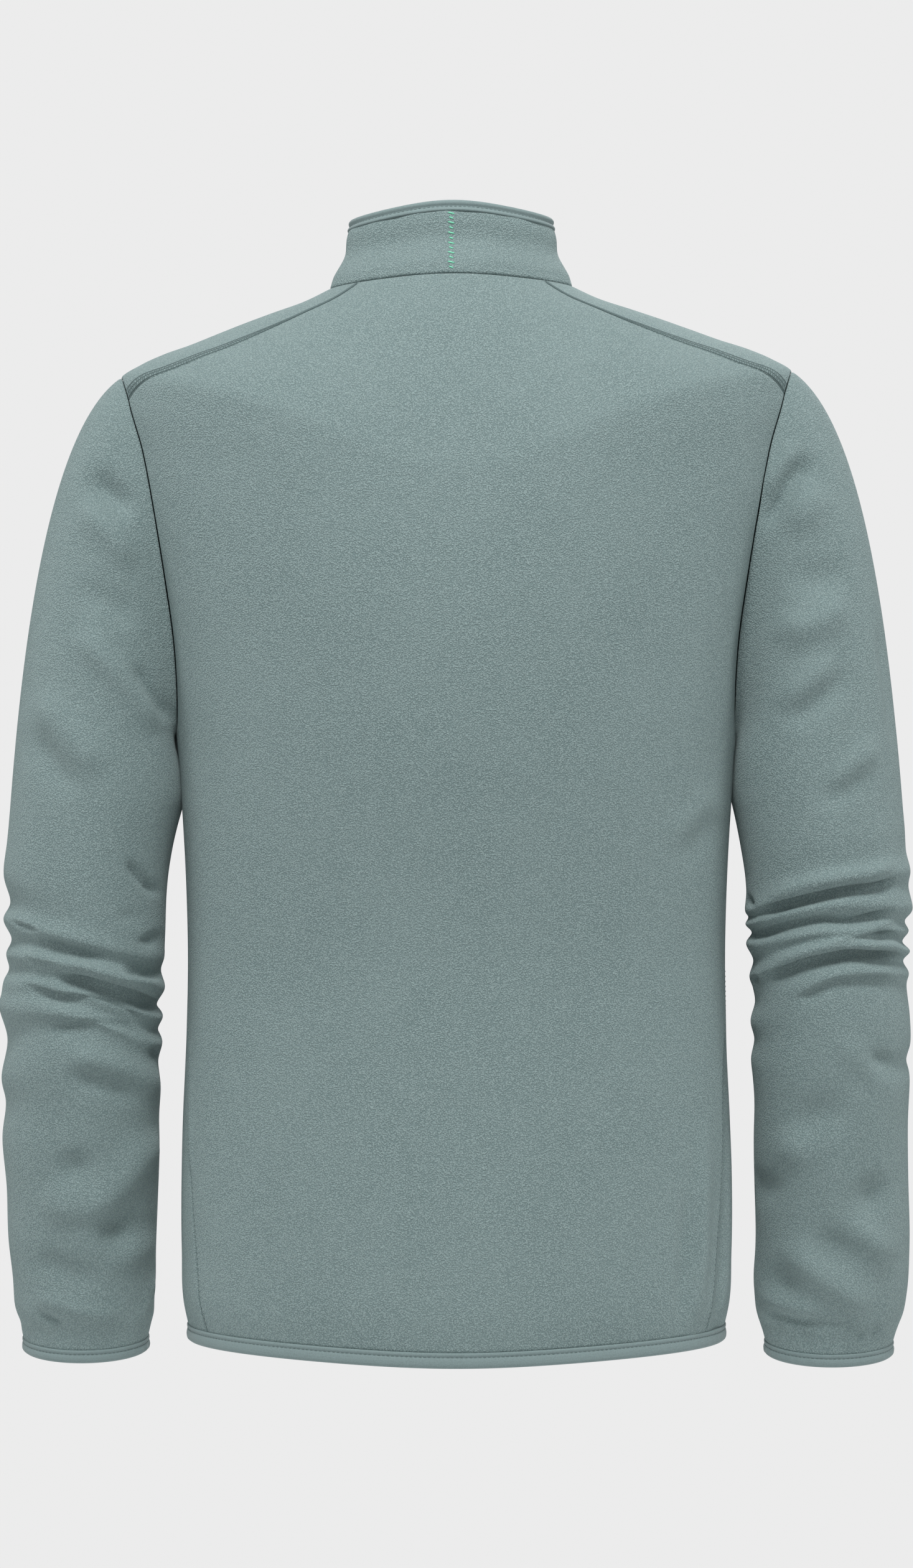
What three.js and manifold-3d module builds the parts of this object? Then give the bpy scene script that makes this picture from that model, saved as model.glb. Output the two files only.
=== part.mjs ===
// A zip-fronted fleece jacket with a stand collar, filled out as if it were worn.
// Millimetres, +Z up, the front towards -Y and the left sleeve towards +X.
// The origin is midway between the shoulders, at the height of the neck's side points.
import * as THREE from "three";
import { mergeVertices } from "three/addons/utils/BufferGeometryUtils.js";
import Module from "manifold-3d";

// Driving dimensions
const CLOTH = 2; // wall of the fleece
const SEAM_GAP = 0.3; // between two pieces along a seam
const BINDING_WALL = 3.6; // the elastic binding folded over the fleece's edge
const BINDING_PROUD = 0.7; // how far the binding's face stands off the fleece's
const BINDING_EDGE = 1.2; // how far its rounded edges reach along the band
const BINDING_TUCK = -0.1; // where its rounded edges end, off the fleece's face
const HEM_BINDING = 10.4;
const CUFF_BINDING = 11;
const COLLAR_BINDING = 8;
const ZIP_HALF_GAP = 8; // from the zip's middle to each front's edge
const NECK_LEAN = { by: 3.5, from: -60, to: 0 }; // how the collar leans to the wearer's left
const SHOULDER_DROP = { by: 2.2, from: -300, to: -60 }; // the left shoulder's drop, the right's rise

// Bodice: one row for each ring, by its distance up the side from the hem.
// half, back and front are the ring's reach sideways, backwards and forwards, square is how square it
// is from a plain ellipse's 2 up, and the lifts raise the middle of its back and its front.
const TORSO = [
  { station: 0, z: -696.5, half: 180.5, back: 111, front: 112, square: 2.35, backLift: -7.5, frontLift: -2 },
  { station: 15, z: -682, half: 183.6, back: 113, front: 114.5, square: 2.4, backLift: -6.5, frontLift: -1.5 },
  { station: 50, z: -648, half: 185, back: 113, front: 116, square: 2.4, backLift: -3, frontLift: 0 },
  { station: 130, z: -569, half: 184.6, back: 108, front: 117, square: 2.4, backLift: 0, frontLift: 0 },
  { station: 200, z: -499, half: 181.8, back: 104.5, front: 117, square: 2.35, backLift: 0, frontLift: 0 },
  { station: 246, z: -453, half: 181, back: 104.5, front: 118, square: 2.3, backLift: 0, frontLift: 0 },
  { station: 299, z: -400, half: 182.2, back: 109, front: 121, square: 2.3, backLift: 0, frontLift: 0 },
  { station: 347, z: -352, half: 184.8, back: 115, front: 125, square: 2.25, backLift: -1, frontLift: -1 },
  { station: 390, z: -309, half: 188, back: 120, front: 127.5, square: 2.2, backLift: -5, frontLift: -7 },
  { station: 410, z: -289, half: 190.2, back: 121.5, front: 128, square: 2.2, backLift: -8, frontLift: -11 },
  { station: 459, z: -240, half: 197.5, back: 124, front: 128, square: 2.15, backLift: -16, frontLift: -22 },
  { station: 509, z: -190, half: 208, back: 125, front: 125.5, square: 2.1, backLift: -28, frontLift: -39 },
  { station: 549, z: -150, half: 216.5, back: 124, front: 121.5, square: 2.05, backLift: -40, frontLift: -54 },
  { station: 589, z: -110, half: 224, back: 122, front: 115, square: 2, backLift: -55, frontLift: -70 },
  { station: 624, z: -75, half: 229, back: 119, front: 109, square: 2, backLift: -66, frontLift: -84 },
  { station: 641, z: -58.5, half: 226.5, back: 117, front: 106, square: 2, backLift: -69, frontLift: -89 },
  { station: 655, z: -50, half: 213, back: 114, front: 103, square: 2, backLift: -66, frontLift: -87 },
  { station: 671, z: -43.5, half: 198.5, back: 110, front: 100.5, square: 2, backLift: -58, frontLift: -83 },
  { station: 690, z: -37.3, half: 180, back: 105, front: 97.5, square: 2, backLift: -48, frontLift: -79 },
  { station: 710, z: -30.3, half: 161.5, back: 99, front: 95, square: 2, backLift: -39, frontLift: -75 },
  { station: 731, z: -23, half: 142, back: 91, front: 92.5, square: 2, backLift: -28, frontLift: -71 },
  { station: 753, z: -16, half: 122, back: 82, front: 90, square: 2, backLift: -14.5, frontLift: -67 },
  { station: 776, z: -8.5, half: 100, back: 72, front: 87, square: 2, backLift: -3.5, frontLift: -64 },
  { station: 796, z: 0, half: 82, back: 62, front: 84, square: 2, backLift: 4.4, frontLift: -62 },
];
const NECK_STATION = TORSO.at(-1).station;
const TORSO_HALF_WIDTH = Math.max(...TORSO.map((row) => row.half));

// Collar: rings from the neck seam, whose ring it shares, to the foot of its binding.
const COLLAR = [
  { rise: 0, z: 0, half: 82, back: 62, front: 84, backLift: 4.4, frontLift: -62 },
  { rise: 0.12, z: 5, half: 79.6, back: 59.8, front: 83.2, backLift: 4.5, frontLift: -60 },
  { rise: 0.4, z: 17, half: 75.8, back: 56.6, front: 81.2, backLift: 5.2, frontLift: -55.5 },
  { rise: 0.7, z: 29, half: 72.6, back: 54, front: 79, backLift: 6.4, frontLift: -50 },
  { rise: 1, z: 40, half: 69, back: 51.2, front: 76.5, backLift: 7.5, frontLift: -44 },
  { rise: 1.19, z: 48, half: 65.4, back: 48, front: 74.5, backLift: 7.5, frontLift: -42 },
];
const COLLAR_SQUARENESS = 2;
const COLLAR_RISES = [0, 0.12, 0.3, 0.5, 0.75, 1];

// The side seam's and the shoulder seam's angle from the centre back, by station.
const SIDE_SEAM = [
  { station: 0, angle: 71.5 },
  { station: 51, angle: 73.5 },
  { station: 114, angle: 77 },
  { station: 180, angle: 80.5 },
  { station: 235, angle: 89 },
  { station: 290, angle: 90 },
  { station: 400, angle: 90 },
];
const SHOULDER_SEAM = [
  { station: 625, angle: 81 },
  { station: 650, angle: 73.5 },
  { station: 675, angle: 70.5 },
  { station: 700, angle: 68.3 },
  { station: 750, angle: 63 },
  { station: 796, angle: 55 },
];

// The armhole is a loop round the side: turn 0 at the underarm, 90 behind, 180 on the shoulder.
const UNDERARM_STATION = 400;
const SHOULDER_TIP_STATION = 641;
const ARMHOLE_BACK_SWING = 13.5; // degrees of the ring that it takes behind the side
const ARMHOLE_FRONT_SWING = 20;
const ARMHOLE_ROUNDNESS = 0.6;
const SHOULDER_SEAM_TURN = 150; // where the shoulder seam meets the armhole

// How finely the panels are cut up
const SIDE_STATIONS = [0, 15, 32, 60, 100, 150, 200, 246, 290, 335, 372, UNDERARM_STATION];
const TURN_STEP = 15;
const SHOULDER_STEPS = 10;
const BACK_COLUMNS = 20;
const NECK_STEPS = 9;

// Sleeve below the cap: the plain tube, by height.
const SLEEVE = [
  { z: -345, centreX: 243.5, centreY: 0, half: 57, depth: 63 },
  { z: -393, centreX: 249, centreY: 2, half: 55, depth: 60 },
  { z: -435, centreX: 250, centreY: 2, half: 53.6, depth: 58 },
  { z: -477, centreX: 252, centreY: -1, half: 52.4, depth: 56 },
  { z: -519, centreX: 252.4, centreY: -5, half: 52.4, depth: 54.5 },
  { z: -560, centreX: 253.4, centreY: -10, half: 52, depth: 53 },
  { z: -603, centreX: 253.8, centreY: -16, half: 51.8, depth: 51.5 },
  { z: -650, centreX: 253.6, centreY: -22.5, half: 50.6, depth: 49 },
  { z: -678, centreX: 252.8, centreY: -26.8, half: 49.2, depth: 47.5 },
  { z: -692, centreX: 252.4, centreY: -29, half: 47, depth: 45 },
  { z: -701, centreX: 252.4, centreY: -30.2, half: 43.6, depth: 42 },
  { z: -708, centreX: 252.4, centreY: -31, half: 41.4, depth: 40 },
  { z: -715, centreX: 252.4, centreY: -32, half: 40.4, depth: 39.2 },
];
const CUFF_TILT = 0.13; // the cuff's back edge is this much lower per millimetre of depth
const TILT_FROM = 420; // where the rings start to tilt towards the cuff, below the origin
const TILT_FULL = 560;
const CAP_ROWS = 8;
const CAP_START = { across: 0.83, behind: 0.25, down: 0.56 }; // where the cloth heads at the armhole
const CAP_END = { across: 0.077, behind: 0, down: 1 };
const CAP_START_PULL = 0.59;
const CAP_END_PULL = 1.1;
const FRONT_FOLDS = 0.8; // the folds in front, as a share of those behind

// The folds at the elbows: one row for each ridge and trough, with its height and its lift off
// the plain tube at the sleeve's inner side, its back and its outer side.
const LEFT_FOLDS = [
  { inner: -345, back: -345, outer: -345, liftInner: 0, liftBack: 0, liftOuter: 0 },
  { inner: -380, back: -375, outer: -372, liftInner: 0, liftBack: 0, liftOuter: 0 },
  { inner: -412, back: -405, outer: -395, liftInner: -0.5, liftBack: 0, liftOuter: 1 },
  { inner: -440, back: -426, outer: -413, liftInner: 0, liftBack: -0.6, liftOuter: -3.4 },
  { inner: -451, back: -437, outer: -425, liftInner: 0.5, liftBack: 2, liftOuter: 1.5 },
  { inner: -460, back: -445, outer: -438, liftInner: -1, liftBack: -2.4, liftOuter: -3.8 },
  { inner: -472, back: -454, outer: -448, liftInner: 2.4, liftBack: 2.6, liftOuter: -0.4 },
  { inner: -483, back: -463, outer: -458, liftInner: -2.6, liftBack: -3.2, liftOuter: -2.4 },
  { inner: -491, back: -470.5, outer: -466, liftInner: 1.5, liftBack: 0.8, liftOuter: 1 },
  { inner: -500, back: -477, outer: -474, liftInner: -1.8, liftBack: -1.6, liftOuter: 2.4 },
  { inner: -509, back: -485, outer: -485, liftInner: 1, liftBack: 1.8, liftOuter: 3.8 },
  { inner: -522, back: -493, outer: -506, liftInner: -1.6, liftBack: -1.8, liftOuter: -1.6 },
  { inner: -540, back: -516, outer: -531, liftInner: 0.5, liftBack: 1, liftOuter: 2.4 },
  { inner: -560, back: -545, outer: -549, liftInner: 0, liftBack: -0.4, liftOuter: -0.6 },
  { inner: -582, back: -575, outer: -573, liftInner: 0.4, liftBack: 0.4, liftOuter: 1.8 },
  { inner: -612, back: -610, outer: -606, liftInner: -0.4, liftBack: 0, liftOuter: -0.6 },
  { inner: -642, back: -642, outer: -642, liftInner: -1.2, liftBack: 0.6, liftOuter: -0.4 },
  { inner: -668, back: -668, outer: -668, liftInner: -1.6, liftBack: -0.4, liftOuter: -1.4 },
  { inner: -686, back: -686, outer: -686, liftInner: -1.6, liftBack: 0.6, liftOuter: 0 },
  { inner: -697, back: -697, outer: -697, liftInner: 0.4, liftBack: 0, liftOuter: 0 },
  { inner: -704, back: -704, outer: -704, liftInner: 0.8, liftBack: 0.4, liftOuter: 1 },
  { inner: -708, back: -708, outer: -708, liftInner: 0.6, liftBack: 0.4, liftOuter: 1 },
];
const RIGHT_FOLDS = [
  { inner: -345, back: -345, outer: -345, liftInner: 0, liftBack: 0, liftOuter: 0 },
  { inner: -376, back: -368, outer: -363, liftInner: 0, liftBack: 0.4, liftOuter: 0 },
  { inner: -405, back: -388, outer: -379, liftInner: -0.5, liftBack: -0.6, liftOuter: -0.4 },
  { inner: -419, back: -399, outer: -392, liftInner: 1, liftBack: 2.6, liftOuter: 1.8 },
  { inner: -424, back: -405.5, outer: -403, liftInner: -1, liftBack: -2.4, liftOuter: 0.4 },
  { inner: -429, back: -414, outer: -418, liftInner: 1, liftBack: 1.4, liftOuter: 3.4 },
  { inner: -434.5, back: -423, outer: -426, liftInner: -2.8, liftBack: -2, liftOuter: -1.6 },
  { inner: -442, back: -431, outer: -433, liftInner: 1.5, liftBack: 0.8, liftOuter: 1 },
  { inner: -453, back: -436, outer: -440, liftInner: -2.4, liftBack: 0.2, liftOuter: -3.2 },
  { inner: -464, back: -442, outer: -446.5, liftInner: 1, liftBack: 3, liftOuter: 1.8 },
  { inner: -472, back: -448.5, outer: -453, liftInner: -0.8, liftBack: -3.2, liftOuter: -2.8 },
  { inner: -482, back: -460, outer: -461, liftInner: -1.8, liftBack: 1.6, liftOuter: 0.8 },
  { inner: -494.5, back: -469, outer: -470, liftInner: 1.2, liftBack: -1, liftOuter: -0.8 },
  { inner: -507, back: -491, outer: -489, liftInner: -1.4, liftBack: 0.4, liftOuter: 1.2 },
  { inner: -520, back: -512, outer: -507, liftInner: 0.8, liftBack: 0, liftOuter: 1.8 },
  { inner: -533, back: -528, outer: -519, liftInner: 0, liftBack: -0.4, liftOuter: -1 },
  { inner: -549, back: -546, outer: -532, liftInner: -0.6, liftBack: 0.4, liftOuter: 1.2 },
  { inner: -576, back: -575, outer: -562, liftInner: 0.2, liftBack: 0, liftOuter: 0 },
  { inner: -608, back: -608, outer: -600, liftInner: -0.2, liftBack: -0.4, liftOuter: 0.6 },
  { inner: -640, back: -640, outer: -640, liftInner: -0.6, liftBack: 0.8, liftOuter: 3 },
  { inner: -668, back: -668, outer: -668, liftInner: 0.8, liftBack: -0.6, liftOuter: 4.2 },
  { inner: -688, back: -688, outer: -688, liftInner: 1, liftBack: 0.4, liftOuter: 4.8 },
  { inner: -699, back: -699, outer: -699, liftInner: 2, liftBack: 0.4, liftOuter: 5.2 },
  { inner: -707, back: -707, outer: -707, liftInner: 1.6, liftBack: 0.6, liftOuter: 4.6 },
  { inner: -711, back: -711, outer: -711, liftInner: 0.8, liftBack: 0.6, liftOuter: 3.8 },
];

// Zip
const TAPE = 0.8; // the tape's thickness
const TAPE_BEHIND = 0.7; // from the fleece's inner face to the tape
const TAPE_REACH = 14; // from the zip's middle to the tape's sewn edge
const CHAIN_HALF_WIDTH = 3;
const CHAIN_HALF_THICKNESS = 1.3;
const CHAIN_TOP = 2.5; // from the tape's top to the end of the closed chain
const SLIDER = { width: 8.4, length: 11, plate: 1.1, clearance: 0.35, post: 2, postWidth: 5.4 };
const BAIL = { width: 2.4, length: 7, height: 4.6, wire: 1.2 };
const TAB = { width: 7, length: 26, thickness: 1.5, bar: 1.7, frame: 1.6, eye: 6.6, corner: 2, pivot: 1.9 };
const END_BOX = { width: 6, height: 12, thickness: 4.4 };

const fleece = new THREE.MeshStandardMaterial({ color: 0x7d9494, roughness: 0.95, metalness: 0 });
const bindingJersey = new THREE.MeshStandardMaterial({ color: 0x6f8786, roughness: 0.8, metalness: 0 });
const zipTapeCloth = new THREE.MeshStandardMaterial({ color: 0x667d7d, roughness: 0.85, metalness: 0 });
const zipPlastic = new THREE.MeshStandardMaterial({ color: 0x5f7474, roughness: 0.5, metalness: 0 });
const zipMetal = new THREE.MeshStandardMaterial({ color: 0x7d8a8b, roughness: 0.35, metalness: 0.8 });

const radians = THREE.MathUtils.degToRad;
const wasm = await Module();
wasm.setup();

// A smooth curve through one column of a table, as a function of another column.
function curve(rows, key, column) {
  const x = rows.map((row) => row[key]);
  const y = rows.map((row) => row[column]);
  const last = rows.length - 1;
  const secant = (i) => (y[i + 1] - y[i]) / (x[i + 1] - x[i]);
  const slope = x.map((_, i) => {
    if (i === 0) return secant(0);
    if (i === last) return secant(last - 1);
    const before = x[i] - x[i - 1];
    const after = x[i + 1] - x[i];
    return (secant(i - 1) * after + secant(i) * before) / (before + after);
  });
  return (at) => {
    let i = 0;
    while (i < last - 1 && at > x[i + 1]) i += 1;
    const span = x[i + 1] - x[i];
    const t = (at - x[i]) / span;
    const rest = 1 - t;
    return (
      y[i] * (1 + 2 * t) * rest * rest +
      y[i + 1] * t * t * (3 - 2 * t) +
      span * (slope[i] * t * rest * rest - slope[i + 1] * t * t * rest)
    );
  };
}

// Every other column of a table at once, by the column that orders it, which falls if sign is -1.
function curves(rows, key, sign = 1) {
  const ordered = rows.map((row) => ({ ...row, [key]: row[key] * sign }));
  const columns = Object.keys(rows[0]).filter((column) => column !== key);
  const made = columns.map((column) => [column, curve(ordered, key, column)]);
  return (at) => Object.fromEntries(made.map(([column, value]) => [column, value(at * sign)]));
}

const torsoRing = curves(TORSO, "station");
const collarRing = curves(COLLAR, "rise");
const sideSeamAngle = curve(SIDE_SEAM, "station", "angle");
const shoulderSeamAngle = curve(SHOULDER_SEAM, "station", "angle");
const sleeveTube = curves(SLEEVE, "z", -1);

// A point of a ring at an angle in degrees: 0 is the centre back and 90 the left side.
function ringPoint(ring, angle, squareness) {
  const side = Math.sin(radians(angle));
  const behind = Math.cos(radians(angle));
  const depth = behind > 0 ? ring.back : ring.front;
  const lift = behind > 0 ? ring.backLift : ring.frontLift;
  const sum = Math.abs(side / ring.half) ** squareness + Math.abs(behind / depth) ** squareness;
  const reach = sum ** (-1 / squareness);
  return new THREE.Vector3(reach * side, reach * behind, ring.z + lift * behind * behind);
}

function torsoPoint(angle, station) {
  const ring = torsoRing(station);
  return ringPoint(ring, angle, ring.square);
}

const collarPoint = (angle, rise) => ringPoint(collarRing(rise), angle, COLLAR_SQUARENESS);

// How far to either side a surface is sampled for its normal
const ANGLE_PROBE = 0.2;
const STATION_PROBE = 0.4;
const RISE_PROBE = 0.005;
const TURN_PROBE = 1;
const ROW_PROBE = 0.04;

// The outward normal of a surface given as a function of two numbers.
function normalOf(surface, a, b, stepA, stepB) {
  const alongA = surface(a + stepA, b).sub(surface(a - stepA, b));
  const alongB = surface(a, b + stepB).sub(surface(a, b - stepB));
  return alongA.cross(alongB).normalize();
}

const torsoNormal = (angle, station) => normalOf(torsoPoint, angle, station, -ANGLE_PROBE, STATION_PROBE);
const collarNormal = (angle, rise) => normalOf(collarPoint, angle, rise, -ANGLE_PROBE, RISE_PROBE);

// The garment hangs a little unevenly: the collar leans left and the left shoulder sits lower.
function settle(p) {
  const lean = NECK_LEAN.by * THREE.MathUtils.smoothstep(p.z, NECK_LEAN.from, NECK_LEAN.to);
  const drop = SHOULDER_DROP.by * THREE.MathUtils.smoothstep(p.z, SHOULDER_DROP.from, SHOULDER_DROP.to);
  return new THREE.Vector3(p.x + lean, p.y, p.z - (drop * p.x) / TORSO_HALF_WIDTH);
}

// The triangles of a closed mesh, turned round if they face inwards.
function facingOut(positions, index) {
  const corner = (k) => new THREE.Vector3().fromArray(positions, 3 * k);
  let volume = 0;
  for (let i = 0; i < index.length; i += 3) {
    const [a, b, c] = [0, 1, 2].map((k) => corner(index[i + k]));
    volume += a.dot(b.cross(c));
  }
  return volume > 0 ? index : [...index].reverse();
}

// The closed solid between two grids of points, row by row; round ones join their last column
// to their first.
function wall({ outer, inner }, round = false) {
  const rows = outer.length;
  const columns = outer[0].length;
  const size = rows * columns;
  const positions = [...outer.flat(), ...inner.flat()].map(settle).flatMap((p) => [p.x, p.y, p.z]);
  const index = [];
  const face = (a, b, c, d) => index.push(a, b, c, a, c, d);
  const at = (i, j) => i * columns + (j % columns);
  const steps = round ? columns : columns - 1;
  for (let i = 0; i < rows - 1; i += 1) {
    for (let j = 0; j < steps; j += 1) {
      const [a, b, c, d] = [at(i, j), at(i, j + 1), at(i + 1, j + 1), at(i + 1, j)];
      face(a, b, c, d);
      face(a + size, d + size, c + size, b + size);
    }
  }
  const rim = (a, b) => face(b, a, a + size, b + size);
  for (let j = 0; j < steps; j += 1) {
    rim(at(0, j), at(0, j + 1));
    rim(at(rows - 1, j + 1), at(rows - 1, j));
  }
  if (!round) {
    for (let i = 0; i < rows - 1; i += 1) {
      rim(at(i + 1, 0), at(i, 0));
      rim(at(i, columns - 1), at(i + 1, columns - 1));
    }
  }
  const geometry = new THREE.BufferGeometry();
  geometry.setAttribute("position", new THREE.Float32BufferAttribute(positions, 3));
  geometry.setIndex(facingOut(positions, index));
  geometry.computeVertexNormals();
  return geometry;
}

const mirrorPoint = (p) => new THREE.Vector3(-p.x, p.y, p.z);
const mirrorGrid = (grid) => grid.map((row) => row.map(mirrorPoint));
const mirrored = ({ outer, inner }) => ({ outer: mirrorGrid(outer), inner: mirrorGrid(inner) });

// Moves a grid's border half a seam gap inwards, on every side.
function pullIn(grid) {
  const towards = (from, to) => from.clone().addScaledVector(to.clone().sub(from).normalize(), SEAM_GAP / 2);
  const sides = grid.map((row) => {
    const last = row.length - 1;
    return row.map((p, j) => {
      if (j === 0) return towards(p, row[1]);
      return j === last ? towards(p, row[last - 1]) : p.clone();
    });
  });
  const last = sides.length - 1;
  return sides.map((row, i) => {
    if (i === 0) return row.map((p, j) => towards(p, sides[1][j]));
    return i === last ? row.map((p, j) => towards(p, sides[last - 1][j])) : row;
  });
}

// Outer and inner grids of a piece of cloth from a grid of surface coordinates.
function cloth(coordinates, point, normal, depth = 0, thickness = CLOTH) {
  const face = (sunk) =>
    pullIn(coordinates.map((row) => row.map(([a, b]) => point(a, b).addScaledVector(normal(a, b), -sunk))));
  return { outer: face(depth), inner: face(depth + thickness) };
}

const spread = (from, to, steps) =>
  Array.from({ length: steps + 1 }, (_, i) => from + ((to - from) * i) / steps);

// Where the armhole runs: the ring angle and station at a turn.
function armhole(turn) {
  const swing = Math.sin(radians(turn));
  const reach = Math.abs(swing) ** ARMHOLE_ROUNDNESS;
  const angle = 90 - (swing > 0 ? ARMHOLE_BACK_SWING : -ARMHOLE_FRONT_SWING) * reach;
  const climb = (1 - Math.cos(radians(turn))) / 2;
  return [angle, UNDERARM_STATION + (SHOULDER_TIP_STATION - UNDERARM_STATION) * climb];
}

const backTurns = spread(0, SHOULDER_SEAM_TURN, SHOULDER_SEAM_TURN / TURN_STEP);
const frontTurns = spread(360, SHOULDER_SEAM_TURN, (360 - SHOULDER_SEAM_TURN) / TURN_STEP);
const [tipAngle, tipStation] = armhole(SHOULDER_SEAM_TURN);
const shoulderSeam = spread(tipStation, NECK_STATION, SHOULDER_STEPS).map((station) => {
  const along = (station - tipStation) / (NECK_STATION - tipStation);
  const correction = tipAngle - shoulderSeamAngle(tipStation);
  return [shoulderSeamAngle(station) + correction * (1 - along), station];
});
const zipAngle = (depth, x = ZIP_HALF_GAP) => 180 - THREE.MathUtils.radToDeg(Math.asin(x / depth));

// Back: rows of equal station, out to the side seam, the armhole and the shoulder seam in turn.
function backPanel() {
  const edge = [
    ...SIDE_STATIONS.map((station) => [sideSeamAngle(station), station]),
    ...backTurns.slice(1).map(armhole),
    ...shoulderSeam.slice(1),
  ];
  const coordinates = edge.map(([angle, station]) =>
    spread(angle, -angle, BACK_COLUMNS).map((at) => [at, station]),
  );
  return cloth(coordinates, torsoPoint, torsoNormal);
}

// The front's rows along the zip, and the neck seam's angles from the zip to the shoulder seam.
const zipStations = [
  ...SIDE_STATIONS,
  ...spread(UNDERARM_STATION, NECK_STATION, frontTurns.length - 1 - NECK_STEPS).slice(1),
];
const frontNeckAngles = spread(zipAngle(COLLAR[0].front), SHOULDER_SEAM.at(-1).angle, NECK_STEPS);

// Left front: rows fan out from the zip's edge and the neck to the side seam and the armhole,
// and the last row is the shoulder seam.
function frontPanel() {
  const outerEdge = [
    ...SIDE_STATIONS.map((station) => [sideSeamAngle(station), station]),
    ...frontTurns.slice(1).map(armhole),
  ];
  const neckRow = zipStations.length - 1;
  const centre = zipStations.map((station) => [zipAngle(torsoRing(station).front), station]);
  const innerEdge = [...centre, ...frontNeckAngles.slice(1).map((angle) => [angle, NECK_STATION])];
  const seamFromNeck = [...shoulderSeam].reverse();
  const last = innerEdge.length - 1;
  const coordinates = innerEdge.map(([innerAngle, innerStation], i) => {
    const [outerAngle, outerStation] = outerEdge[i];
    const pull = Math.max(0, (i - neckRow) / NECK_STEPS) ** 2;
    return spread(0, 1, SHOULDER_STEPS).map((share, j) => {
      const [seamAngle, seamStation] = seamFromNeck[j];
      const [fromAngle, fromStation] = innerEdge[last];
      const [toAngle, toStation] = outerEdge[last];
      const bendAngle = seamAngle - THREE.MathUtils.lerp(fromAngle, toAngle, share);
      const bendStation = seamStation - THREE.MathUtils.lerp(fromStation, toStation, share);
      return [
        THREE.MathUtils.lerp(innerAngle, outerAngle, share) + pull * bendAngle,
        THREE.MathUtils.lerp(innerStation, outerStation, share) + pull * bendStation,
      ];
    });
  });
  return cloth(coordinates, torsoPoint, torsoNormal);
}

// Collar: one row of columns round the neck, at the angles of the panels below it.
const backNeckAngles = spread(SHOULDER_SEAM.at(-1).angle, -SHOULDER_SEAM.at(-1).angle, BACK_COLUMNS);
const collarAngles = [
  ...frontNeckAngles,
  ...backNeckAngles.slice(1),
  ...frontNeckAngles.slice(0, -1).reverse().map((angle) => -angle),
];

function collarPanel() {
  const coordinates = COLLAR_RISES.map((rise) => collarAngles.map((angle) => [angle, rise]));
  return cloth(coordinates, collarPoint, collarNormal);
}

// A binding: a band along an edge, with rounded top and bottom. edge(j, along) is on the cloth's
// outer face at column j, that far along the band, and out[j] is its outward normal.
function binding(height, edge, out) {
  const section = [
    [SEAM_GAP, BINDING_TUCK],
    [SEAM_GAP + BINDING_EDGE, BINDING_PROUD],
    [height - BINDING_EDGE, BINDING_PROUD],
    [height, BINDING_TUCK],
  ];
  const face = (off) =>
    section.map(([along, proud]) => out.map((n, j) => edge(j, along).addScaledVector(n, off(proud))));
  return {
    outer: face((proud) => proud),
    inner: face((proud) => 2 * BINDING_PROUD - BINDING_WALL - proud),
  };
}

// The hem's angles all round, from the left front's edge over the back to the right front's.
const hemAngles = (() => {
  const side = sideSeamAngle(0);
  const front = spread(zipAngle(TORSO[0].front), side, SHOULDER_STEPS);
  const back = spread(side, -side, BACK_COLUMNS);
  return [...front, ...back.slice(1), ...front.slice(0, -1).reverse().map((angle) => -angle)];
})();

const down = new THREE.Vector3(0, 0, -1);
const flatOut = (normal) => normal.clone().setZ(0).normalize();

function hemBinding() {
  const out = hemAngles.map((angle) => flatOut(torsoNormal(angle, 0)));
  const edge = (j, along) => torsoPoint(hemAngles[j], 0).addScaledVector(down, along);
  return binding(HEM_BINDING, edge, out);
}

function collarBinding() {
  const top = COLLAR.at(-1).rise;
  const out = collarAngles.map((angle) => collarNormal(angle, (1 + top) / 2));
  const climb = collarAngles.map((angle) => collarPoint(angle, top).sub(collarPoint(angle, 1)).normalize());
  const edge = (j, along) => collarPoint(collarAngles[j], 1).addScaledVector(climb[j], along);
  return binding(COLLAR_BINDING, edge, out);
}

const turns = spread(0, 360 - TURN_STEP, 360 / TURN_STEP - 1);

// The left-hand sleeve below its cap, at a turn and a row of a fold table: each ring climbs and
// falls with its fold, and is lifted off the plain tube or sunk into it.
function foldedSleeve(folds) {
  const rows = folds.map((row, i) => ({ row: i, ...row }));
  const fold = curves(rows, "row");
  return (turn, row) => {
    const at = fold(row);
    const outward = (1 - Math.cos(radians(turn))) / 2;
    const behind = Math.sin(radians(turn));
    const share = behind > 0 ? 1 : FRONT_FOLDS;
    const mix = (inner, outer, back) => {
      const level = THREE.MathUtils.lerp(inner, outer, outward);
      return level + share * (back - (inner + outer) / 2) * behind * behind;
    };
    const height = mix(at.inner, at.outer, at.back);
    const lift = mix(at.liftInner, at.liftOuter, at.liftBack);
    const tube = sleeveTube(height);
    const tilt = CUFF_TILT * THREE.MathUtils.smoothstep(-height, TILT_FROM, TILT_FULL);
    return new THREE.Vector3(
      tube.centreX - (tube.half + lift) * Math.cos(radians(turn)),
      tube.centreY + (tube.depth + lift) * behind,
      height - tilt * tube.depth * behind,
    );
  };
}

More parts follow.
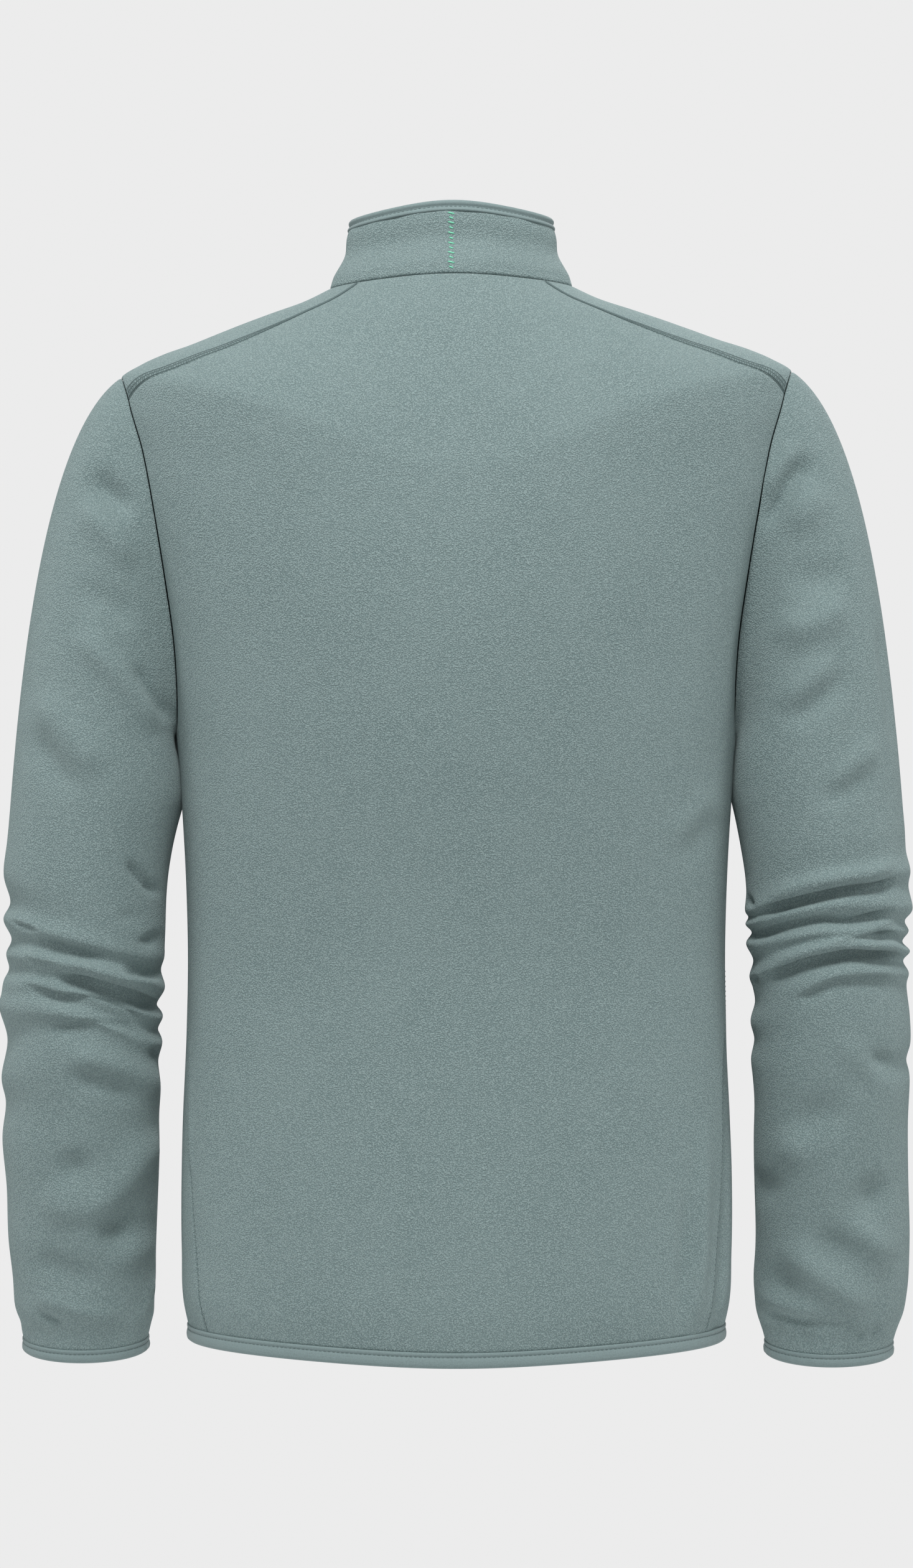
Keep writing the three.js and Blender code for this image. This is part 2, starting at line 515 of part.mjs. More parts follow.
// The cap: from the armhole's point at a turn to the first ring of the folded sleeve.
function sleeveCap(turn, share, lower) {
  const start = torsoPoint(...armhole(turn));
  const end = lower(turn, 0);
  const length = start.distanceTo(end);
  const behind = Math.sin(radians(turn));
  const leave = new THREE.Vector3(CAP_START.across, CAP_START.behind * behind, -CAP_START.down).normalize();
  const arrive = new THREE.Vector3(CAP_END.across, CAP_END.behind * behind, -CAP_END.down).normalize();
  const rest = 1 - share;
  return start
    .multiplyScalar((1 + 2 * share) * rest * rest)
    .addScaledVector(end, share * share * (3 - 2 * share))
    .addScaledVector(leave, length * CAP_START_PULL * share * rest * rest)
    .addScaledVector(arrive, -length * CAP_END_PULL * share * share * rest);
}

// The whole sleeve's outer point: rows below CAP_ROWS are the cap's.
function sleevePoint(folds) {
  const lower = foldedSleeve(folds);
  return (turn, row) =>
    row < CAP_ROWS ? sleeveCap(turn, row / CAP_ROWS, lower) : lower(turn, row - CAP_ROWS);
}

// Away from the body's panels, in the armhole's own surface, at a turn.
function intoArmhole(turn) {
  const [angle, station] = armhole(turn);
  const along = torsoPoint(...armhole(turn + TURN_PROBE)).sub(torsoPoint(...armhole(turn - TURN_PROBE)));
  const across = along.cross(torsoNormal(angle, station)).normalize();
  const centre = torsoPoint(90, (UNDERARM_STATION + SHOULDER_TIP_STATION) / 2);
  const towards = centre.sub(torsoPoint(angle, station));
  return across.dot(towards) < 0 ? across.negate() : across;
}

function leftSleeve(folds) {
  const point = sleevePoint(folds);
  const rows = CAP_ROWS + folds.length - 1;
  const outer = [];
  const inner = [];
  for (let i = 0; i <= rows; i += 1) {
    const ring = turns.map((turn) => point(turn, i));
    const thickness = turns.map((turn) => {
      const at = THREE.MathUtils.clamp(i, ROW_PROBE, rows - ROW_PROBE);
      return normalOf(point, turn, at, TURN_PROBE, ROW_PROBE).multiplyScalar(CLOTH);
    });
    if (i === 0) {
      turns.forEach((turn, j) => {
        const away = intoArmhole(turn);
        ring[j].addScaledVector(away, SEAM_GAP);
        const crossing = thickness[j].dot(away);
        if (crossing > 0) thickness[j].addScaledVector(away, -crossing).setLength(CLOTH);
      });
    }
    outer.push(ring);
    inner.push(ring.map((p, j) => p.clone().sub(thickness[j])));
  }
  return { outer, inner };
}

function cuffBinding(folds) {
  const point = sleevePoint(folds);
  const last = CAP_ROWS + folds.length - 1;
  const out = turns.map((turn) => flatOut(normalOf(point, turn, last - ROW_PROBE, TURN_PROBE, ROW_PROBE)));
  const heading = new THREE.Vector3(0, -CUFF_TILT, -1).normalize();
  const edge = (j, along) => point(turns[j], last).addScaledVector(heading, along);
  return binding(CUFF_BINDING, edge, out);
}

const back = backPanel();
const front = frontPanel();
const collar = collarPanel();

// The zip's left tape, behind the edges of the front and the collar.
function zipTape() {
  const nearEdge = CHAIN_HALF_WIDTH + SEAM_GAP / 2;
  const rows = (surface, normal, ring, levels) =>
    cloth(
      levels.map((level) => [TAPE_REACH, nearEdge].map((x) => [zipAngle(ring(level).front, x), level])),
      surface,
      normal,
      CLOTH + TAPE_BEHIND,
      TAPE,
    );
  const below = rows(torsoPoint, torsoNormal, torsoRing, zipStations);
  const above = rows(collarPoint, collarNormal, collarRing, COLLAR_RISES.slice(1));
  return { outer: [...below.outer, ...above.outer], inner: [...below.inner, ...above.inner] };
}
const tape = zipTape();

// The zip's middle line, and its place and heading at a distance below its top end.
const zipLine = tape.outer.map(([, p], i) => p.clone().lerp(tape.inner[i][1], 0.5).setX(0));
function alongZip(from, distance) {
  const line = from === "top" ? [...zipLine].reverse() : zipLine;
  let left = distance;
  let i = 0;
  while (left > line[i].distanceTo(line[i + 1])) {
    left -= line[i].distanceTo(line[i + 1]);
    i += 1;
  }
  const heading = line[i + 1].clone().sub(line[i]).normalize();
  return { point: line[i].clone().addScaledVector(heading, left), next: i + 1, heading };
}
const chainTop = alongZip("top", CHAIN_TOP);
const chainFoot = alongZip("foot", END_BOX.height + SEAM_GAP);

// The closed chain down the middle.
function zipChain() {
  const middle = [
    chainFoot.point,
    ...zipLine.slice(chainFoot.next, zipLine.length - chainTop.next),
    chainTop.point,
  ];
  const face = (behind) =>
    middle.map((p) => [
      p.clone().add(new THREE.Vector3(CHAIN_HALF_WIDTH, behind, 0)),
      p.clone().add(new THREE.Vector3(-CHAIN_HALF_WIDTH, behind, 0)),
    ]);
  return { outer: face(-CHAIN_HALF_THICKNESS), inner: face(CHAIN_HALF_THICKNESS) };
}

// Closed three.js geometries joined into one.
function joined(geometries) {
  const solids = geometries.map((geometry) => {
    geometry.deleteAttribute("normal");
    geometry.deleteAttribute("uv");
    const merged = mergeVertices(geometry, 1e-4);
    const mesh = { numProp: 3, vertProperties: merged.attributes.position.array };
    return new wasm.Manifold(new wasm.Mesh({ ...mesh, triVerts: new Uint32Array(merged.index.array) }));
  });
  const mesh = solids.reduce((whole, solid) => whole.add(solid)).getMesh();
  const geometry = new THREE.BufferGeometry();
  geometry.setAttribute("position", new THREE.BufferAttribute(new Float32Array(mesh.vertProperties), 3));
  geometry.setIndex(new THREE.BufferAttribute(new Uint32Array(mesh.triVerts), 1));
  return geometry.toNonIndexed();
}

// A box by its size and its middle.
function block(size, middle) {
  return new THREE.BoxGeometry(...size).translate(...middle);
}

// Slider, in its own frame: up the zip is +Z, off the jacket is -Y, the chain's middle is y 0.
const sliderMouth = CHAIN_HALF_THICKNESS + SLIDER.clearance;
const sliderFace = sliderMouth + SLIDER.plate;
function sliderGeometry() {
  const plateMiddle = (sliderMouth + sliderFace) / 2;
  const postMiddle = (SLIDER.length - SLIDER.post) / 2;
  const legMiddle = (BAIL.length - BAIL.wire) / 2;
  const legReach = BAIL.height + SLIDER.plate / 2;
  const leg = [BAIL.width, legReach, BAIL.wire];
  const legY = -sliderFace - BAIL.height + legReach / 2;
  return joined([
    block([SLIDER.width, SLIDER.plate, SLIDER.length], [0, -plateMiddle, 0]),
    block([SLIDER.width, SLIDER.plate, SLIDER.length], [0, plateMiddle, 0]),
    block([SLIDER.postWidth, 2 * sliderFace - SLIDER.plate, SLIDER.post], [0, 0, postMiddle]),
    block(leg, [0, legY, legMiddle]),
    block(leg, [0, legY, -legMiddle]),
    block([BAIL.width, BAIL.wire, BAIL.length], [0, -sliderFace - BAIL.height + BAIL.wire / 2, 0]),
  ]);
}

// Pull tab, in its own frame: its bar's middle is the origin, and it hangs down along -Z.
function tabGeometry() {
  const half = TAB.width / 2;
  const top = TAB.bar / 2;
  const foot = top - TAB.length;
  const outline = new THREE.Shape();
  outline.moveTo(-half, top);
  outline.lineTo(-half, foot + TAB.corner);
  outline.quadraticCurveTo(-half, foot, -half + TAB.corner, foot);
  outline.lineTo(half - TAB.corner, foot);
  outline.quadraticCurveTo(half, foot, half, foot + TAB.corner);
  outline.lineTo(half, top);
  outline.closePath();
  const eye = new THREE.Path();
  eye.moveTo(-half + TAB.frame, -top);
  eye.lineTo(half - TAB.frame, -top);
  eye.lineTo(half - TAB.frame, -top - TAB.eye);
  eye.lineTo(-half + TAB.frame, -top - TAB.eye);
  eye.closePath();
  outline.holes.push(eye);
  return new THREE.ExtrudeGeometry(outline, { depth: TAB.thickness, bevelEnabled: false, curveSegments: 4 })
    .translate(0, 0, -TAB.thickness / 2)
    .rotateX(Math.PI / 2);
}

const jacket = new THREE.Group();
function add(name, geometry, material, parent = jacket) {
  const mesh = new THREE.Mesh(geometry, material);
  mesh.name = name;
  parent.add(mesh);
}

add("back_panel", wall(back), fleece);
add("front_left", wall(front), fleece);
add("front_right", wall(mirrored(front)), fleece);
add("collar", wall(collar), fleece);
add("collar_binding", wall(collarBinding()), bindingJersey);
add("hem_binding", wall(hemBinding()), bindingJersey);
add("sleeve_left", wall(leftSleeve(LEFT_FOLDS), true), fleece);
add("sleeve_right", wall(mirrored(leftSleeve(RIGHT_FOLDS)), true), fleece);
add("cuff_binding_left", wall(cuffBinding(LEFT_FOLDS), true), bindingJersey);
add("cuff_binding_right", wall(mirrored(cuffBinding(RIGHT_FOLDS)), true), bindingJersey);
add("zip_tape_left", wall(tape), zipTapeCloth);
add("zip_tape_right", wall(mirrored(tape)), zipTapeCloth);
add("zip_chain", wall(zipChain()), zipPlastic);

// The box that holds the zip's foot, and the slider with its tab at the top
const foot = new THREE.Group();
foot.position.copy(settle(zipLine[0]));
foot.quaternion.setFromUnitVectors(new THREE.Vector3(0, 0, 1), alongZip("foot", 0).heading);
const endBox = block([END_BOX.width, END_BOX.thickness, END_BOX.height], [0, 0, END_BOX.height / 2]);
add("zip_box", endBox, zipPlastic, foot);
jacket.add(foot);

const slider = new THREE.Group();
const sliderDrop = SLIDER.length / 2 - SLIDER.post - SLIDER.clearance;
slider.position.copy(settle(chainTop.point.clone().addScaledVector(chainTop.heading, sliderDrop)));
slider.quaternion.setFromUnitVectors(new THREE.Vector3(0, 0, -1), chainTop.heading);
add("zip_slider", sliderGeometry(), zipMetal, slider);
const pull = new THREE.Group();
pull.position.set(0, -sliderFace - TAB.pivot, 0);
add("zip_pull", tabGeometry(), zipMetal, pull);
slider.add(pull);
jacket.add(slider);

export default jacket;
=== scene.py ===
"""Looks of a zip-fronted fleece jacket, filled out as if it were worn.

Sizes are in millimetres, +Z up, the front towards -Y and the left sleeve towards +X. Meshes are
made in metres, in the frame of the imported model.
"""
import logging
import math
from collections.abc import Callable, Sequence
from dataclasses import dataclass, field
from enum import Enum
from itertools import product

import bpy
import numpy as np
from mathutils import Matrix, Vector
from mathutils.bvhtree import BVHTree
from mathutils.kdtree import KDTree


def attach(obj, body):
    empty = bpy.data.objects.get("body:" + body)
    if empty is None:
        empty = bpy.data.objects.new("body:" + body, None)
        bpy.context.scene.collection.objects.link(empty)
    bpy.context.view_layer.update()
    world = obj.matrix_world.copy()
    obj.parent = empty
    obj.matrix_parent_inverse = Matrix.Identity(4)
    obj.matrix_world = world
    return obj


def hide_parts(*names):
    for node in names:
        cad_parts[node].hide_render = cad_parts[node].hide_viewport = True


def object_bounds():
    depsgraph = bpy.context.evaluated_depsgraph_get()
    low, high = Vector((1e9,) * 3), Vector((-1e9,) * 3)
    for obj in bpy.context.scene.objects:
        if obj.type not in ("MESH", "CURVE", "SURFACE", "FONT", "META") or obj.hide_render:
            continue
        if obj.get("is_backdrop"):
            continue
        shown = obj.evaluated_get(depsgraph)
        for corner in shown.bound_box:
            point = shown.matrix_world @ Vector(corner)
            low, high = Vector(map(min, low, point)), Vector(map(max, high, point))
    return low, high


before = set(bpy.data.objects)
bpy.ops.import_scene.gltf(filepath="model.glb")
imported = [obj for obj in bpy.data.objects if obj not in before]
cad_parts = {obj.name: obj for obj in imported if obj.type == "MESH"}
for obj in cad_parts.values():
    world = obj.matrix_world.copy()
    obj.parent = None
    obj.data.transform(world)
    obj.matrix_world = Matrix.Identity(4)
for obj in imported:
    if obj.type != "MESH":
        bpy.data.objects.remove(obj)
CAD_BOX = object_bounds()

Array = np.ndarray
Surface = Callable[[Array, Array], Array]
Material = bpy.types.Material
Node = bpy.types.Node
Piece = bpy.types.Object
Socket = bpy.types.NodeSocket

LOG = logging.getLogger("fleece_jacket")
METRES = 0.001


class Side(Enum):
    """The wearer's two sides, as the sign of X."""

    LEFT = 1
    RIGHT = -1

    @property
    def word(self) -> str:
        """The side's name as the nodes' names end in it."""
        return self.name.lower()


class Slot(Enum):
    """The record's material slots."""

    FLEECE = "fleece"
    BINDING = "binding"
    TAPE = "zip_tape"
    PLASTIC = "zip_plastic"
    METAL = "zip_metal"


# Tables of sizes


class Curve:
    """A smooth curve through one column of a table, by the column that orders it."""

    def __init__(self, x: Sequence[float], y: Sequence[float]) -> None:
        """Fits the curve.

        Args:
            x: The ordering column, rising or falling throughout.
            y: The column to follow.
        """
        self.sign = 1 if x[-1] > x[0] else -1
        self.x = np.asarray(x, float) * self.sign
        self.y = np.asarray(y, float)
        step = np.diff(self.x)
        secant = np.diff(self.y) / step
        middle = (secant[:-1] * step[1:] + secant[1:] * step[:-1]) / (step[1:] + step[:-1])
        self.slope = np.concatenate([secant[:1], middle, secant[-1:]])

    def __call__(self, at: Array | float) -> Array:
        """The curve's value.

        Args:
            at: Where to read it.

        Returns:
            One value for each place.
        """
        where = np.asarray(at, float) * self.sign
        i = np.clip(np.searchsorted(self.x, where) - 1, 0, len(self.x) - 2)
        span = self.x[i + 1] - self.x[i]
        t = (where - self.x[i]) / span
        rest = 1 - t
        return (
            self.y[i] * (1 + 2 * t) * rest**2
            + self.y[i + 1] * t**2 * (3 - 2 * t)
            + span * (self.slope[i] * t * rest**2 - self.slope[i + 1] * t**2 * rest)
        )


@dataclass(frozen=True)
class Table:
    """Rows of named sizes, ordered by the first column."""

    columns: str
    rows: tuple[tuple[float, ...], ...]

    def curves(self) -> dict[str, Curve]:
        """A curve for each column, by its name."""
        names = self.columns.split()
        order = [row[0] for row in self.rows]
        return {name: Curve(order, [row[k] for row in self.rows]) for k, name in enumerate(names) if k}

    def by_row(self) -> dict[str, Curve]:
        """A curve for each column as a function of the row's number, with parts of rows between."""
        names = self.columns.split()
        order = range(len(self.rows))
        return {name: Curve(order, [row[k] for row in self.rows]) for k, name in enumerate(names)}


TORSO = Table(
    "station z half back front square back_lift front_lift",
    (
        (0, -696.5, 180.5, 111, 112, 2.35, -7.5, -2),
        (15, -682, 183.6, 113, 114.5, 2.4, -6.5, -1.5),
        (50, -648, 185, 113, 116, 2.4, -3, 0),
        (130, -569, 184.6, 108, 117, 2.4, 0, 0),
        (200, -499, 181.8, 104.5, 117, 2.35, 0, 0),
        (246, -453, 181, 104.5, 118, 2.3, 0, 0),
        (299, -400, 182.2, 109, 121, 2.3, 0, 0),
        (347, -352, 184.8, 115, 125, 2.25, -1, -1),
        (390, -309, 188, 120, 127.5, 2.2, -5, -7),
        (410, -289, 190.2, 121.5, 128, 2.2, -8, -11),
        (459, -240, 197.5, 124, 128, 2.15, -16, -22),
        (509, -190, 208, 125, 125.5, 2.1, -28, -39),
        (549, -150, 216.5, 124, 121.5, 2.05, -40, -54),
        (589, -110, 224, 122, 115, 2, -55, -70),
        (624, -75, 229, 119, 109, 2, -66, -84),
        (641, -58.5, 226.5, 117, 106, 2, -69, -89),
        (655, -50, 213, 114, 103, 2, -66, -87),
        (671, -43.5, 198.5, 110, 100.5, 2, -58, -83),
        (690, -37.3, 180, 105, 97.5, 2, -48, -79),
        (710, -30.3, 161.5, 99, 95, 2, -39, -75),
        (731, -23, 142, 91, 92.5, 2, -28, -71),
        (753, -16, 122, 82, 90, 2, -14.5, -67),
        (776, -8.5, 100, 72, 87, 2, -3.5, -64),
        (796, 0, 82, 62, 84, 2, 4.4, -62),
    ),
)
COLLAR = Table(
    "rise z half back front back_lift front_lift",
    (
        (0, 0, 82, 62, 84, 4.4, -62),
        (0.12, 5, 79.6, 59.8, 83.2, 4.5, -60),
        (0.4, 17, 75.8, 56.6, 81.2, 5.2, -55.5),
        (0.7, 29, 72.6, 54, 79, 6.4, -50),
        (1, 40, 69, 51.2, 76.5, 7.5, -44),
        (1.19, 48, 65.4, 48, 74.5, 7.5, -42),
    ),
)
SIDE_SEAM = Table(
    "station angle",
    ((0, 71.5), (51, 73.5), (114, 77), (180, 80.5), (235, 89), (290, 90), (400, 90)),
)
SHOULDER_SEAM = Table(
    "station angle",
    ((625, 81), (650, 73.5), (675, 70.5), (700, 68.3), (750, 63), (796, 55)),
)
SLEEVE = Table(
    "z centre_x centre_y half depth",
    (
        (-345, 243.5, 0, 57, 63),
        (-393, 249, 2, 55, 60),
        (-435, 250, 2, 53.6, 58),
        (-477, 252, -1, 52.4, 56),
        (-519, 252.4, -5, 52.4, 54.5),
        (-560, 253.4, -10, 52, 53),
        (-603, 253.8, -16, 51.8, 51.5),
        (-650, 253.6, -22.5, 50.6, 49),
        (-678, 252.8, -26.8, 49.2, 47.5),
        (-692, 252.4, -29, 47, 45),
        (-701, 252.4, -30.2, 43.6, 42),
        (-708, 252.4, -31, 41.4, 40),
        (-715, 252.4, -32, 40.4, 39.2),
    ),
)
LEFT_FOLDS = Table(
    "inner back outer lift_inner lift_back lift_outer",
    (
        (-345, -345, -345, 0, 0, 0),
        (-380, -375, -372, 0, 0, 0),
        (-412, -405, -395, -0.5, 0, 1),
        (-440, -426, -413, 0, -0.6, -3.4),
        (-451, -437, -425, 0.5, 2, 1.5),
        (-460, -445, -438, -1, -2.4, -3.8),
        (-472, -454, -448, 2.4, 2.6, -0.4),
        (-483, -463, -458, -2.6, -3.2, -2.4),
        (-491, -470.5, -466, 1.5, 0.8, 1),
        (-500, -477, -474, -1.8, -1.6, 2.4),
        (-509, -485, -485, 1, 1.8, 3.8),
        (-522, -493, -506, -1.6, -1.8, -1.6),
        (-540, -516, -531, 0.5, 1, 2.4),
        (-560, -545, -549, 0, -0.4, -0.6),
        (-582, -575, -573, 0.4, 0.4, 1.8),
        (-612, -610, -606, -0.4, 0, -0.6),
        (-642, -642, -642, -1.2, 0.6, -0.4),
        (-668, -668, -668, -1.6, -0.4, -1.4),
        (-686, -686, -686, -1.6, 0.6, 0),
        (-697, -697, -697, 0.4, 0, 0),
        (-704, -704, -704, 0.8, 0.4, 1),
        (-708, -708, -708, 0.6, 0.4, 1),
    ),
)
RIGHT_FOLDS = Table(
    "inner back outer lift_inner lift_back lift_outer",
    (
        (-345, -345, -345, 0, 0, 0),
        (-376, -368, -363, 0, 0.4, 0),
        (-405, -388, -379, -0.5, -0.6, -0.4),
        (-419, -399, -392, 1, 2.6, 1.8),
        (-424, -405.5, -403, -1, -2.4, 0.4),
        (-429, -414, -418, 1, 1.4, 3.4),
        (-434.5, -423, -426, -2.8, -2, -1.6),
        (-442, -431, -433, 1.5, 0.8, 1),
        (-453, -436, -440, -2.4, 0.2, -3.2),
        (-464, -442, -446.5, 1, 3, 1.8),
        (-472, -448.5, -453, -0.8, -3.2, -2.8),
        (-482, -460, -461, -1.8, 1.6, 0.8),
        (-494.5, -469, -470, 1.2, -1, -0.8),
        (-507, -491, -489, -1.4, 0.4, 1.2),
        (-520, -512, -507, 0.8, 0, 1.8),
        (-533, -528, -519, 0, -0.4, -1),
        (-549, -546, -532, -0.6, 0.4, 1.2),
        (-576, -575, -562, 0.2, 0, 0),
        (-608, -608, -600, -0.2, -0.4, 0.6),
        (-640, -640, -640, -0.6, 0.8, 3),
        (-668, -668, -668, 0.8, -0.6, 4.2),
        (-688, -688, -688, 1, 0.4, 4.8),
        (-699, -699, -699, 2, 0.4, 5.2),
        (-707, -707, -707, 1.6, 0.6, 4.6),
        (-711, -711, -711, 0.8, 0.6, 3.8),
    ),
)
CLOTH = 2.0
SHEET = CLOTH + 0.1
SEAM_GAP = 0.3
ZIP_HALF_GAP = 8
# The neck's depth in front, at its seam
NECK_DEPTH = 84
ACROSS = np.array([1.0, 0, 0])


# Shapes


def smoothstep(x: Array, low: float, high: float) -> Array:
    """A smooth rise from 0 at low to 1 at high, or a fall where high is the lower."""
    t = np.clip((x - low) / (high - low), 0, 1)
    return t * t * (3 - 2 * t)


def bell(x: Array, width: Array | float) -> Array:
    """A smooth bump, 1 at 0."""
    return np.exp(-((x / width) ** 2))


def unit(v: Array) -> Array:
    """The vectors scaled to length one."""
    return v / np.maximum(np.linalg.norm(v, axis=-1, keepdims=True), 1e-12)


def stack(x: Array, y: Array, z: Array) -> Array:
    """Points from their three coordinates."""
    return np.stack(np.broadcast_arrays(x, y, z), axis=-1)


def settle(points: Array) -> Array:
    """Hangs points a little unevenly: the collar leans left and the left shoulder sits lower.

    Args:
        points: Points in millimetres.

    Returns:
        The moved points.
    """
    x, y, z = points[..., 0], points[..., 1], points[..., 2]
    lean = 3.5 * smoothstep(z, -60, 0)
    drop = 2.2 * smoothstep(z, -300, -60)
    return stack(x + lean, y, z - drop * x / 229)


def mirrored(points: Array, side: Side) -> Array:
    """Left-hand points moved to their side."""
    return points * np.array([side.value, 1, 1])


def ring_point(ring: dict[str, Array], angle: Array, square: Array | float) -> Array:
    """A point of a ring round the body.

    Args:
        ring: The ring's sizes.
        angle: Degrees from the centre back, 90 on the left side.
        square: How square the ring is, 2 for an ellipse.

    Returns:
        Points in millimetres.
    """
    side, behind = np.sin(np.radians(angle)), np.cos(np.radians(angle))
    depth = np.where(behind > 0, ring["back"], ring["front"])
    lift = np.where(behind > 0, ring["back_lift"], ring["front_lift"])
    total = np.abs(side / ring["half"]) ** square + np.abs(behind / depth) ** square
    reach = total ** (-1 / square)
    return stack(reach * side, reach * behind, ring["z"] + lift * behind**2)


def grid_normals(points: Array, closed: bool) -> Array:
    """Outward normals of a grid of points.

    Args:
        points: Rows of columns of points.
        closed: Whether the last column meets the first.

    Returns:
        A unit normal for each point.
    """
    padded = np.concatenate([points[:, -1:], points, points[:, :1]], axis=1) if closed else points
    across, along = np.gradient(padded, axis=1), np.gradient(padded, axis=0)
    if closed:
        across, along = across[:, 1:-1], along[:, 1:-1]
    normals = unit(np.cross(across, along))
    outward = np.sum(normals * (points - points.mean(axis=(0, 1))))
    return normals if outward > 0 else -normals


def between(at: Array, places: Array | Sequence[float], rows: Array) -> Array:
    """Rows of numbers, read between the places where they are known."""
    return np.stack([np.interp(at, places, column) for column in rows.T], axis=1)


def travelled(line: Array) -> Array:
    """The length run along a line at each of its points."""
    return np.concatenate([[0], np.cumsum(np.linalg.norm(np.diff(line, axis=0), axis=1))])


def rolled(away: Array, width: float, depth: float) -> Array:
    """How far cloth sinks at a sewn edge, round a quarter of an ellipse."""
    near = np.clip(1 - away / width, 0, 1)
    return depth * (1 - np.sqrt(1 - near**2))


def eased(steps: int, fineness: float = 0.85) -> Array:
    """Shares from 0 to 1 that are finer towards both ends."""
    t = np.linspace(0, 1, steps + 1)
    return t - fineness * np.sin(2 * np.pi * t) / (2 * np.pi)


def distance_to(points: Array, line: Array) -> Array:
    """How far points are from a line.

    Args:
        points: Any array of points.
        line: Points along the line, in order.

    Returns:
        One distance for each point, in the points' own unit.
    """
    dense = [line[:1]]
    for a, b in zip(line[:-1], line[1:]):
        steps = max(1, int(np.linalg.norm(b - a) / 0.35))
        dense.append(a + (b - a) * (np.arange(1, steps + 1) / steps)[:, None])
    seam = np.concatenate(dense)
    tree = KDTree(len(seam))
    for i, p in enumerate(seam):
        tree.insert(p, i)
    tree.balance()
    flat = points.reshape(-1, 3)
    return np.array([tree.find(p)[2] for p in flat]).reshape(points.shape[:-1])


def border(points: Array) -> Array:
    """The outline of a grid of points, as one closed line."""
    return np.concatenate([points[0], points[1:, -1], points[-1, ::-1], points[::-1, 0]])


@dataclass(frozen=True)
class Crease:
    """A ridge or a groove in the cloth, drawn on it as it is seen from behind or in front.

    Attributes:
        path: Places along it, sideways and in height, in the frame of the left-hand piece.
        lift: Height in millimetres, less than nothing for a groove.
        above: Half width on its left-hand side.
        below: Half width on its other side.
        fade: Length of each end over which it fades out.
    """

    path: tuple[tuple[float, float], ...]
    lift: float
    above: float
    below: float
    fade: float

    def height(self, u: Array, v: Array) -> Array:
        """How far it lifts the cloth.

        Args:
            u: How far sideways each point is, in millimetres.
            v: Its height.

        Returns:
            The lift at each point.
        """
        knots = np.array(self.path, float)
        order = np.arange(len(knots))
        fine = np.linspace(0, len(knots) - 1, 6 * (len(knots) - 1) + 1)
        if len(knots) > 2:
            line = np.stack([Curve(order, column)(fine) for column in knots.T], axis=1)
        else:
            line = between(fine, order, knots)
        best = np.full(u.shape, np.inf)
        side = np.zeros(u.shape)
        along = np.zeros(u.shape)
        passed = 0.0
        for (au, av), (bu, bv) in zip(line[:-1], line[1:]):
            du, dv = bu - au, bv - av
            length = math.hypot(du, dv)
            t = np.clip(((u - au) * du + (v - av) * dv) / length**2, 0, 1)
            off_u, off_v = u - (au + t * du), v - (av + t * dv)
            distance = np.hypot(off_u, off_v)
            near = distance < best
            best = np.where(near, distance, best)
            side = np.where(near, du * off_v - dv * off_u, side)
            along = np.where(near, passed + t * length, along)
            passed += length
        width = np.where(side > 0, self.above, self.below)
        fade = min(self.fade, passed / 2)
        ends = smoothstep(along, 0, fade) * smoothstep(passed - along, 0, fade)
        return self.lift * bell(best, width) * ends


def creases(*rows: tuple[float, ...]) -> tuple[Crease, ...]:
    """Creases from rows of lift, half width above, half width below, fade and then the path."""
    return tuple(Crease(tuple(zip(row[4::2], row[5::2])), *row[:4]) for row in rows)


def creased(drawn: Sequence[Crease], u: Array, v: Array) -> Array:
    """The lift of many creases at once."""
    return sum((crease.height(u, v) for crease in drawn), np.zeros(u.shape))


